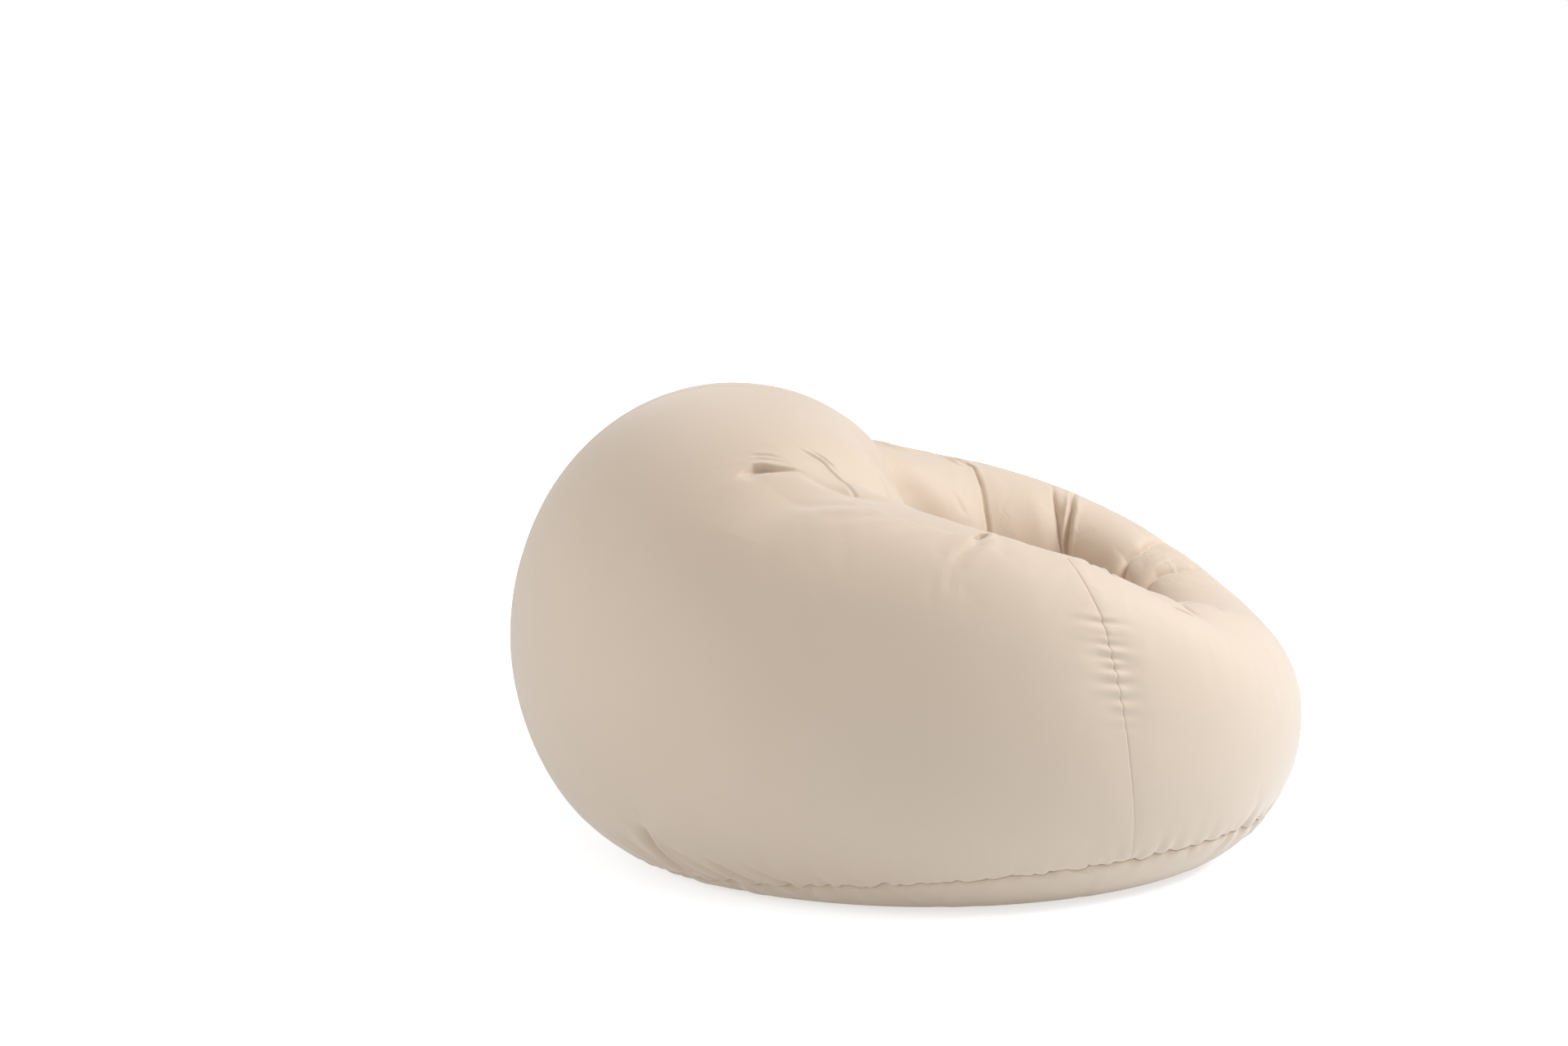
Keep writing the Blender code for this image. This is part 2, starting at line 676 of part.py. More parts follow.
def rest_height(mesh, frame, radius):
    """Highest the mesh reaches along the frame's axis inside a radius, found by rays down the axis."""
    tree = BVHTree.FromPolygons([v.co for v in mesh.vertices], [tuple(p.vertices) for p in mesh.polygons])
    down = -(frame.to_3x3() @ Vector((0, 0, 1)))
    highest = -CUT_OVERRUN
    for ring in range(FLANGE_RAY_RINGS + 1):
        for step in range(ROUND_STEPS):
            turn = 2 * math.pi * step / ROUND_STEPS
            reach = radius * ring / FLANGE_RAY_RINGS
            start = frame @ Vector((reach * math.cos(turn), reach * math.sin(turn), 2 * CUT_OVERRUN))
            hit = tree.ray_cast(start, down, 4 * CUT_OVERRUN)[0]
            if hit:
                highest = max(highest, (frame.inverted() @ hit).z)
    return highest


def make_valve(prefix, bladder, finishes):
    """A two-part air valve round the origin: base, core, flap, cap and tether, and its hole in the bladder."""
    plastic, silicone = finishes
    flange_top = RUNNING_GAP + FLANGE_THICKNESS
    neck_bore = NECK_RADIUS - NECK_WALL
    neck_top = flange_top + NECK_HEIGHT
    turned(prefix + "_base", [
        (NECK_RADIUS, neck_top),
        (NECK_RADIUS, flange_top),
        (FLANGE_RADIUS, flange_top),
        (FLANGE_RADIUS, RUNNING_GAP),
        (NECK_RADIUS, RUNNING_GAP),
        (NECK_RADIUS, -NECK_DEPTH),
        (neck_bore, -NECK_DEPTH),
        (neck_bore, neck_top),
    ], plastic)
    make_core(prefix, neck_bore, neck_top, plastic)
    make_flap(prefix, neck_bore, silicone)
    seat = neck_top + RUNNING_GAP + CORE_RIM_THICKNESS
    make_cap(prefix, seat, plastic)
    make_tether(prefix, flange_top, seat, silicone)
    hole = cylinder(prefix + "_hole_cutter", NECK_RADIUS + RUNNING_GAP, -CUT_OVERRUN, CUT_OVERRUN)
    boolean(bladder, hole)


def core_bottom():
    """Height of the core's lower end, just above the base's own."""
    return -NECK_DEPTH + 2 * FLAP_THICKNESS + RUNNING_GAP


def hub_low():
    """Height of the underside of the hub that carries the flap."""
    return core_bottom() + RUNNING_GAP


def hub_top():
    """Height of the top of the hub."""
    return hub_low() + CORE_SPOKE_WIDTH


def make_core(prefix, neck_bore, neck_top, finish):
    """Screwed insert: a sleeve with a rim on the neck, a boss for the cap and spokes that carry the flap."""
    sleeve = neck_bore - RUNNING_GAP
    sleeve_bore = sleeve - CORE_WALL
    boss_bore = CORE_BOSS_RADIUS - CORE_WALL
    low = neck_top + RUNNING_GAP
    high = low + CORE_RIM_THICKNESS
    core = turned(prefix + "_core", [
        (CORE_BOSS_RADIUS, high + CORE_BOSS_HEIGHT),
        (CORE_BOSS_RADIUS, high),
        (CORE_RIM_RADIUS, high),
        (CORE_RIM_RADIUS, low),
        (sleeve, low),
        (sleeve, core_bottom()),
        (sleeve_bore, core_bottom()),
        (sleeve_bore, low),
        (boss_bore, high),
        (boss_bore, high + CORE_BOSS_HEIGHT),
    ], finish)
    half = CORE_SPOKE_WIDTH / 2
    reach = sleeve_bore + CORE_WALL / 2
    cross = []
    for x_sign, y_sign in ((1, 1), (-1, 1), (-1, -1), (1, -1)):
        corner = [(reach, half), (half, half), (half, reach)]
        if x_sign != y_sign:
            corner.reverse()
        cross += [(x_sign * x, y_sign * y) for x, y in corner]
    spokes = plate(prefix + "_spoke_cutter", cross, hub_low() + RUNNING_GAP, hub_top() - RUNNING_GAP)
    boolean(core, spokes, "UNION")
    hub_radius = 2 * FLAP_STEM_RADIUS + RUNNING_GAP
    boolean(core, cylinder(prefix + "_hub_cutter", hub_radius, hub_low(), hub_top()), "UNION")
    hole_radius = FLAP_STEM_RADIUS + RUNNING_GAP
    boolean(core, cylinder(prefix + "_stem_hole_cutter", hole_radius, -NECK_DEPTH, CUT_OVERRUN))


def make_flap(prefix, neck_bore, finish):
    """Soft disc under the core that air lifts on its way in, held by a stem with a bulb on top."""
    top = core_bottom() - RUNNING_GAP
    bulb = FLAP_STEM_RADIUS + 2 * RUNNING_GAP
    bulb_low = hub_top() + RUNNING_GAP
    bulb_high = bulb_low + FLAP_STEM_RADIUS
    disc = neck_bore - 4 * RUNNING_GAP
    profile = [
        (0, bulb_high),
        (bulb, bulb_high),
        (bulb, bulb_low),
        (FLAP_STEM_RADIUS, bulb_low),
        (FLAP_STEM_RADIUS, top),
        (disc, top),
        (disc, top - FLAP_THICKNESS),
        (0, top - FLAP_THICKNESS),
    ]
    turned(prefix + "_flap", profile, finish)


def make_cap(prefix, seat, finish):
    """Screw cap: a grooved head over a plain skirt, with a lip that keeps the tether's ring on."""
    bore = CORE_BOSS_RADIUS + RUNNING_GAP
    skirt = bore + CAP_WALL
    lip = skirt + CAP_RIB_DEPTH
    head = lip + CAP_RIB_DEPTH
    low = seat + RUNNING_GAP
    inside_top = seat + CORE_BOSS_HEIGHT + RUNNING_GAP
    high = inside_top + CAP_WALL
    head_low = low + TETHER_THICKNESS + CAP_RIB_DEPTH + 2 * RUNNING_GAP
    cap = turned(prefix + "_cap", [
        (0, high),
        (head, high),
        (head, head_low),
        (skirt, head_low),
        (skirt, low + CAP_RIB_DEPTH),
        (lip, low + CAP_RIB_DEPTH),
        (lip, low),
        (bore, low),
        (bore, inside_top),
        (0, inside_top),
    ], finish)
    shape = bmesh.new()
    for number in range(CAP_GROOVES):
        turn = Matrix.Rotation(2 * math.pi * number / CAP_GROOVES, 4, "Z") @ Matrix.Translation((head, 0, 0))
        add_bar(shape, CAP_GROOVE_RADIUS, CAP_GROOVE_STEPS, head_low - RUNNING_GAP, high + CUT_OVERRUN, turn)
    name = prefix + "_groove_cutter"
    boolean(cap, add_object(name, finish_mesh(name, shape)))


def make_tether(prefix, flange_top, seat, finish):
    """Strap that keeps the cap: a loose ring round the neck, one round the cap's skirt and a band between."""
    neck_ring = NECK_RADIUS + RUNNING_GAP
    cap_ring = CORE_BOSS_RADIUS + CAP_WALL + 2 * RUNNING_GAP
    low = flange_top + RUNNING_GAP
    high = seat + 2 * RUNNING_GAP + CAP_RIB_DEPTH
    tether = turned(prefix + "_tether", ring_profile(neck_ring, low), finish)
    boolean(tether, turned(prefix + "_cap_ring_cutter", ring_profile(cap_ring, high)), "UNION")
    outside = CORE_RIM_RADIUS + 2 * TETHER_THICKNESS
    bend = outside - TETHER_THICKNESS
    strap_low = low + STRAP_INSET
    strap_high = high + STRAP_INSET
    strap_thickness = TETHER_THICKNESS - 2 * STRAP_INSET
    loop = [
        (neck_ring + TETHER_WIDTH / 2, strap_low),
        (outside, strap_low),
        (outside, strap_high + strap_thickness),
        (cap_ring + TETHER_WIDTH / 2, strap_high + strap_thickness),
        (cap_ring + TETHER_WIDTH / 2, strap_high),
        (bend, strap_high),
        (bend, strap_low + strap_thickness),
        (neck_ring + TETHER_WIDTH / 2, strap_low + strap_thickness),
    ]
    shape = bmesh.new()
    face = shape.faces.new([shape.verts.new((x, -TETHER_WIDTH / 2, z)) for x, z in loop])
    grown = bmesh.ops.extrude_face_region(shape, geom=[face])["geom"]
    moved = [part for part in grown if isinstance(part, bmesh.types.BMVert)]
    bmesh.ops.translate(shape, vec=(0, TETHER_WIDTH, 0), verts=moved)
    name = prefix + "_strap_cutter"
    boolean(tether, add_object(name, finish_mesh(name, shape)), "UNION")


def ring_profile(radius, low):
    """Profile of one of the tether's flat rings."""
    high = low + TETHER_THICKNESS
    wide = radius + TETHER_WIDTH
    return [(wide, high), (wide, low), (radius, low), (radius, high)]


def make_ring_valve(bladder, panel_object, finishes, patch_finish):
    """The ring's valve at the foot of the back, with its port in the cover and the port's patch."""
    line = np.array([math.radians(RING_VALVE_ANGLE_DEG)])
    arc = np.array([RING_VALVE_ARC_SHARE])
    origin = offset_tube(line, arc, CLOTH_THICKNESS + CLOTH_GAP)[0]
    frame = axis_frame(origin, normals(tube, line, arc)[0])
    frame = frame @ Matrix.Translation((0, 0, rest_height(bladder.data, frame, FLANGE_RADIUS)))
    make_valve("ring_valve", bladder, finishes)
    port_radius = FLANGE_RADIUS + PORT_CLEARANCE
    port = cylinder("ring_valve_port_cutter", port_radius, -CUT_OVERRUN, CUT_OVERRUN)
    boolean(panel_object, port)
    patch = panel_patch("port_patch", patch_finish)
    wide = port_radius + PATCH_WIDTH
    ring = [(wide, CUT_OVERRUN), (wide, -CUT_OVERRUN), (port_radius, -CUT_OVERRUN), (port_radius, CUT_OVERRUN)]
    boolean(patch, turned("ring_valve_patch_cutter", ring), "INTERSECT")
    place_all("ring_valve", frame)


def panel_patch(name, finish):
    """A sheet that follows the outside of the left side panel low on the back, for the patch round the port."""
    lines = signed(seam_lines(), -1)
    lines = lines[lines > math.radians(3 * RING_VALVE_ANGLE_DEG)]
    lines[-1] -= SEAM_GAP / (2 * CREST_HALF_WIDTH)
    arcs = cover_arcs(lines)[: LOW_ROWS + 2]
    line_grid = np.broadcast_to(lines, arcs.shape)
    inner = offset_tube(line_grid, arcs, -RUNNING_GAP)
    outer = offset_tube(line_grid, arcs, -RUNNING_GAP - PATCH_THICKNESS)
    return add_object(name, shell_mesh(name, lines, outer, inner), finish, smooth=True)


def make_seat_valve(bladder, bottom, finishes):
    """The seat bladder's valve, facing down into the hollow over the zip."""
    make_valve("seat_valve", bladder, finishes)
    place_all("seat_valve", axis_frame((SEAT_VALVE_X, SEAT_VALVE_Y, bottom), (0, 0, -1)))


def slider_middle():
    """Where the closed zip's slider stands along Y."""
    return ZIP_BACK_Y - STOP_LENGTH - 2 * RUNNING_GAP - SLIDER_LENGTH / 2


def comb_outline(side):
    """Outline of one row of teeth on their rail. The other row's teeth stand half a pitch along."""
    outer = side * TOOTH_REACH
    root = side * (TOOTH_REACH - TOOTH_RAIL)
    tip = -side * TOOTH_OVERLAP
    start = ZIP_FRONT_Y + STOP_LENGTH + RUNNING_GAP + TOOTH_PITCH / 2
    count = int((slider_middle() - start) / TOOTH_PITCH)
    half = TOOTH_PITCH / 4 - TOOTH_CLEARANCE
    points = [(outer, ZIP_FRONT_Y), (outer, ZIP_BACK_Y), (root, ZIP_BACK_Y)]
    for number in reversed(range(count)):
        middle = start + (number + (side > 0) / 2) * TOOTH_PITCH
        points += [(root, middle + half), (tip, middle + half), (tip, middle - half), (root, middle - half)]
    points.append((root, ZIP_FRONT_Y))
    return points


def make_zip(tape_finish, tooth_finish, metal):
    """Zip of the base: two tapes, two rows of interlocked teeth, the stops, the slider and its pull."""
    for name, side in (("right", -1), ("left", 1)):
        inner = TOOTH_REACH + RUNNING_GAP
        ends = sorted((side * inner, side * (inner + TAPE_WIDTH)))
        low = (ends[0], ZIP_FRONT_Y, TAPE_BASE)
        high = (ends[1], ZIP_BACK_Y, TAPE_BASE + TAPE_THICKNESS)
        block("zip_tape_" + name, low, high, tape_finish)
        low, high = TOOTH_MIDDLE - TOOTH_HEIGHT / 2, TOOTH_MIDDLE + TOOTH_HEIGHT / 2
        plate("zip_teeth_" + name, comb_outline(side), low, high, tooth_finish)
    make_stops(metal)
    make_slider(metal)
    make_pull(metal)


def make_stops(finish):
    """A block between the rails at each end of the zip, which the slider's post runs up against."""
    half = TOOTH_REACH - TOOTH_RAIL - RUNNING_GAP
    for name, start in (("front", ZIP_FRONT_Y), ("back", ZIP_BACK_Y - STOP_LENGTH)):
        low = (-half, start, TOOTH_MIDDLE - TOOTH_HEIGHT / 2)
        high = (half, start + STOP_LENGTH, TOOTH_MIDDLE + TOOTH_HEIGHT / 2)
        block("zip_stop_" + name, low, high, finish)


def slider_half_height():
    """From the middle of the teeth to the outside of one of the slider's plates."""
    return TOOTH_HEIGHT / 2 + RUNNING_GAP + SLIDER_PLATE


def make_slider(finish):
    """Slider: two plates round the teeth, with lips beside the tapes, a post that parts the rows and a bail."""
    half_height = slider_half_height()
    channel = half_height - SLIDER_PLATE
    half_width, half_length = SLIDER_WIDTH / 2, SLIDER_LENGTH / 2
    corner = Vector((half_width, half_length, half_height))
    slider = block("zip_slider", -corner, corner, finish)
    bevel(slider, SLIDER_PLATE / 3)
    corner = Vector((TOOTH_REACH + RUNNING_GAP, SLIDER_LENGTH, channel))
    boolean(slider, block("zip_slider_channel_cutter", -corner, corner))
    corner = Vector((SLIDER_WIDTH, SLIDER_LENGTH, TAPE_THICKNESS / 2 + RUNNING_GAP))
    boolean(slider, block("zip_slider_slot_cutter", -corner, corner))
    post_end = half_length - SLIDER_CORNER
    low = (-SLIDER_POST_WIDTH / 2, post_end - SLIDER_POST_LENGTH, -channel - SLIDER_PLATE / 2)
    high = (SLIDER_POST_WIDTH / 2, post_end, channel + SLIDER_PLATE / 2)
    boolean(slider, block("zip_slider_post_cutter", low, high), "UNION")
    leg_top = -half_height + SLIDER_PLATE / 2
    bend = -half_height - BAIL_LEG
    points = [(0, BAIL_RADIUS, leg_top)]
    for step in range(BAIL_STEPS + 1):
        turn = math.pi * step / BAIL_STEPS
        points.append((0, BAIL_RADIUS * math.cos(turn), bend - BAIL_RADIUS * math.sin(turn)))
    points.append((0, -BAIL_RADIUS, leg_top))
    boolean(slider, wire("zip_slider_bail_cutter", points, BAIL_WIRE / 2), "UNION")
    place_all("zip_slider", Matrix.Translation((0, slider_middle(), TOOTH_MIDDLE)))


def make_pull(finish):
    """Pull tab lying along the zip, its eye round the bail. Its origin is on the axis that it swings about."""
    eye = BAIL_WIRE / 2 + PULL_EYE_CLEARANCE
    near = -BAIL_RADIUS + eye + PULL_RIM
    far = near - PULL_LENGTH
    half = PULL_WIDTH / 2
    corner = PULL_WIDTH / 4
    outline = [
        (corner, near),
        (half, near - corner),
        (half, far + corner),
        (corner, far),
        (-corner, far),
        (-half, far + corner),
        (-half, near - corner),
        (-corner, near),
    ]
    pull = plate("zip_pull", outline, -PULL_THICKNESS / 2, PULL_THICKNESS / 2, finish)
    boolean(pull, cylinder("zip_pull_eye_cutter", eye, -CUT_OVERRUN, CUT_OVERRUN, -BAIL_RADIUS))
    boolean(pull, cylinder("zip_pull_grip_cutter", PULL_GRIP_RADIUS, -CUT_OVERRUN, CUT_OVERRUN, far + half))
    axis_height = TOOTH_MIDDLE - slider_half_height() - BAIL_LEG
    place_all("zip_pull", Matrix.Translation((0, slider_middle(), axis_height)))


def clear_scene():
    """Starts from an empty scene."""
    for old in list(bpy.data.objects):
        bpy.data.objects.remove(old)


clear_scene()
parts = collection(COLLECTION)
cutters = collection(CUTTERS)
cloth = material("cover_cloth", (0.79, 0.66, 0.57), 0.85)
film = material("bladder_film", (0.62, 0.64, 0.66), 0.45)
tape = material("zip_tape", (0.74, 0.61, 0.52), 0.9)
teeth = material("zip_teeth", (0.70, 0.58, 0.49), 0.5)
zip_metal = material("zip_metal", (0.62, 0.58, 0.54), 0.35, metallic=1)
valve_plastic = material("valve_plastic", (0.55, 0.56, 0.57), 0.5)
valve_silicone = material("valve_silicone", (0.75, 0.75, 0.73), 0.6)

right_panel, left_panel = make_cover(cloth)
make_base(cloth)
ring = make_ring_bladder(film)
seat, seat_bottom = make_seat_bladder(film)
make_ring_valve(ring, left_panel, (valve_plastic, valve_silicone), cloth)
make_seat_valve(seat, seat_bottom, (valve_plastic, valve_silicone))
make_zip(tape, teeth, zip_metal)
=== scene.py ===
"""Inflatable armchair: a beige textile cover zipped round a ring-shaped air tube and a seat air cushion.

Metres, +Z up, origin on the floor, sitter facing -Y. The cover is a loft round the seat well, drawn on a
grid of two parameters: the line, an angle round the well from the middle of the back, positive on the
sitter's right, and the arc, a place round the tube: 0 floor, 1 widest, 2 crest, 3 lip, 4 foot of the well
and 5 the floor again.
"""

import json
import logging
import math
from dataclasses import dataclass, field
from enum import Enum

import bmesh
import bpy
import numpy as np
from mathutils import Matrix, Vector

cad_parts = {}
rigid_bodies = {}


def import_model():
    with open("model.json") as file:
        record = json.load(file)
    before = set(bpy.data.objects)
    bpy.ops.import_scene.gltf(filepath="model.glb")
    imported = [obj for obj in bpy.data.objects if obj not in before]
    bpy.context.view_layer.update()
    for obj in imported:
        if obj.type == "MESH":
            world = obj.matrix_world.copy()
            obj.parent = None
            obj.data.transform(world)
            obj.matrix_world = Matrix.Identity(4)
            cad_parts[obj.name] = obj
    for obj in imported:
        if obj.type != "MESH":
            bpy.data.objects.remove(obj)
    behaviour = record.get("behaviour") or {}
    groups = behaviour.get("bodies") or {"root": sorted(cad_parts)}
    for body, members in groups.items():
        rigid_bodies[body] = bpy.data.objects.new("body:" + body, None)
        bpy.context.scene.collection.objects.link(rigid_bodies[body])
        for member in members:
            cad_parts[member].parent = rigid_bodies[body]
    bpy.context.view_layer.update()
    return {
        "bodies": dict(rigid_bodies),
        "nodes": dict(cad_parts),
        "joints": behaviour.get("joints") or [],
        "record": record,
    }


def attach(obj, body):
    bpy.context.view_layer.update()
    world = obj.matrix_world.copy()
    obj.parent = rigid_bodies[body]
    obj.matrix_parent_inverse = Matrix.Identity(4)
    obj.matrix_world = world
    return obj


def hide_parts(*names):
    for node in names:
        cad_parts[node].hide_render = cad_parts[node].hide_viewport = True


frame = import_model()

Array = np.ndarray
Triples = tuple[tuple[float, float, float], ...]
Object = bpy.types.Object
Material = bpy.types.Material
Socket = bpy.types.NodeSocket
log = logging.getLogger("armchair")

SEED = 41
SHARP_EDGE = math.radians(38)
SIDEWAYS = np.array((1.0, 0.0, 0.0))
SEAT_VALVE = (0.09, -0.1425, 0.046)


def linear(code: str) -> tuple[float, float, float, float]:
    """Turn an sRGB hex colour into linear values.

    Args:
        code: Six hex digits, such as "D9C6B1".

    Returns:
        Linear red, green and blue, and an alpha of one.
    """
    values = [int(code[start:start + 2], 16) / 255 for start in (0, 2, 4)]
    return (*[v / 12.92 if v <= 0.04045 else ((v + 0.055) / 1.055) ** 2.4 for v in values], 1.0)


def bell(distance: Array, width: float | Array) -> Array:
    """A bell that is one in the middle and a third of that at its width."""
    return np.exp(-(distance / width) ** 2)


def turns(count: int, start: float = 0.0) -> Array:
    """Even angles of one full turn, without the last, which would be the first again."""
    return np.linspace(start, start + 2 * math.pi, count + 1)[:-1]


def linked(name: str, data: bpy.types.ID) -> Object:
    """Make an object of some data and put it in the scene."""
    made = bpy.data.objects.new(name, data)
    bpy.context.scene.collection.objects.link(made)
    return made


def even_shares(count: int, dense: Triples) -> Array:
    """Shares from 0 to 1, closer together round chosen places.

    Each place adds a bell of extra density to one, and the shares are read off the running sum.

    Args:
        count: How many shares.
        dense: Place, width and extra density of each bell.

    Returns:
        Rising shares, the first 0 and the last 1.
    """
    fine = np.linspace(0, 1, 4001)
    density = np.ones_like(fine)
    for place, width, extra in dense:
        density += extra * bell(fine - place, width)
    running = np.concatenate([[0], np.cumsum((density[1:] + density[:-1]) / 2)])
    return np.interp(np.linspace(0, running[-1], count), running, fine)


def grid_normals(points: Array, wraps: bool = False) -> Array:
    """Unit normals of a grid of points: the cross product of its differences along and across.

    Args:
        points: Rows by columns by three.
        wraps: Whether the last column meets the first.

    Returns:
        Normals in the same shape, out of the tube when columns run round the well and rows up its outside.
    """
    if wraps:
        padded = np.concatenate([points[:, -1:], points, points[:, :1]], axis=1)
        along = padded[:, 2:] - padded[:, :-2]
    else:
        along = np.gradient(points, axis=1)
    across = np.gradient(points, axis=0)
    normal = np.cross(along, across)
    return normal / np.maximum(np.linalg.norm(normal, axis=-1, keepdims=True), 1e-12)


class MeshMaker:
    """Puts arrays of points and faces into Blender meshes."""

    @staticmethod
    def quads(rows: int, columns: int, wraps: bool = False, closes: bool = False) -> Array:
        """Number the corners of each cell of a grid, in the order that faces the grid's normals.

        Args:
            rows: Rows of points.
            columns: Columns of points.
            wraps: Whether the last column meets the first.
            closes: Whether the last row meets the first.

        Returns:
            Four point numbers for each cell.
        """
        index = np.arange(rows * columns).reshape(rows, columns)
        if wraps:
            index = np.hstack([index, index[:, :1]])
        if closes:
            index = np.vstack([index, index[:1]])
        cells = [index[:-1, :-1], index[:-1, 1:], index[1:, 1:], index[1:, :-1]]
        return np.stack(cells, axis=-1).reshape(-1, 4)

    @staticmethod
    def mesh(name: str, points: Array, faces: Array, plane: Array | None = None) -> Object:
        """Make an object from points and faces that all have the same number of corners.

        Args:
            name: The piece's name.
            points: Count by three, in metres.
            faces: Count by corners.
            plane: Flat cloth coordinates of each point in metres, or None.

        Returns:
            The new object, linked to the scene.
        """
        made = bpy.data.meshes.new(name)
        corners = faces.shape[1]
        made.vertices.add(len(points))
        made.vertices.foreach_set("co", points.astype(np.float32).ravel())
        made.loops.add(faces.size)
        made.loops.foreach_set("vertex_index", faces.astype(np.int32).ravel())
        made.polygons.add(len(faces))
        made.polygons.foreach_set("loop_start", np.arange(0, faces.size, corners, dtype=np.int32))
        if plane is not None:
            layer = made.uv_layers.new(name="cloth")
            layer.data.foreach_set("uv", plane[faces.ravel()].astype(np.float32).ravel())
        made.update(calc_edges=True)
        made.validate()
        made.shade_smooth()
        return linked(name, made)

    @staticmethod
    def close(piece: Object, rims: list[Array]) -> None:
        """Fill each rim of a mesh, given as point numbers, with one face."""
        shape = bmesh.new()
        shape.from_mesh(piece.data)
        shape.verts.ensure_lookup_table()
        for rim in rims:
            shape.faces.new([shape.verts[int(number)] for number in rim]).smooth = True
        shape.to_mesh(piece.data)
        shape.free()

    @classmethod
    def shell(cls, name: str, outer: Array, inner: Array, plane: Array | None = None,
              keep: Array | None = None) -> Object:
        """Make a closed panel from two facing grids, walled along every free edge between them.

        An edge is free where no other cell that stays runs along it the other way.

        Args:
            name: The piece's name.
            outer: Grid of the outer side.
            inner: Grid of the inner side, in the same shape.
            plane: Flat cloth coordinates of the grid, or None.
            keep: Which cells of the grid stay, or None for all.

        Returns:
            The new object.
        """
        rows, columns = outer.shape[:2]
        count = rows * columns
        sheet = cls.quads(rows, columns)
        if keep is not None:
            sheet = sheet[keep.ravel()]
        edges = np.concatenate([sheet[:, [corner, (corner + 1) % 4]] for corner in range(4)])
        free = edges[~np.isin(edges[:, 0] * count + edges[:, 1], edges[:, 1] * count + edges[:, 0])]
        walls = np.stack([free[:, 1], free[:, 0], free[:, 0] + count, free[:, 1] + count], axis=-1)
        faces = np.concatenate([sheet, sheet[:, ::-1] + count, walls])
        points = np.concatenate([outer.reshape(-1, 3), inner.reshape(-1, 3)])
        used, faces = np.unique(faces, return_inverse=True)
        faces = faces.reshape(-1, 4)
        if plane is not None:
            plane = np.tile(plane.reshape(-1, 2), (2, 1))[used]
        return cls.mesh(name, points[used], faces, plane)


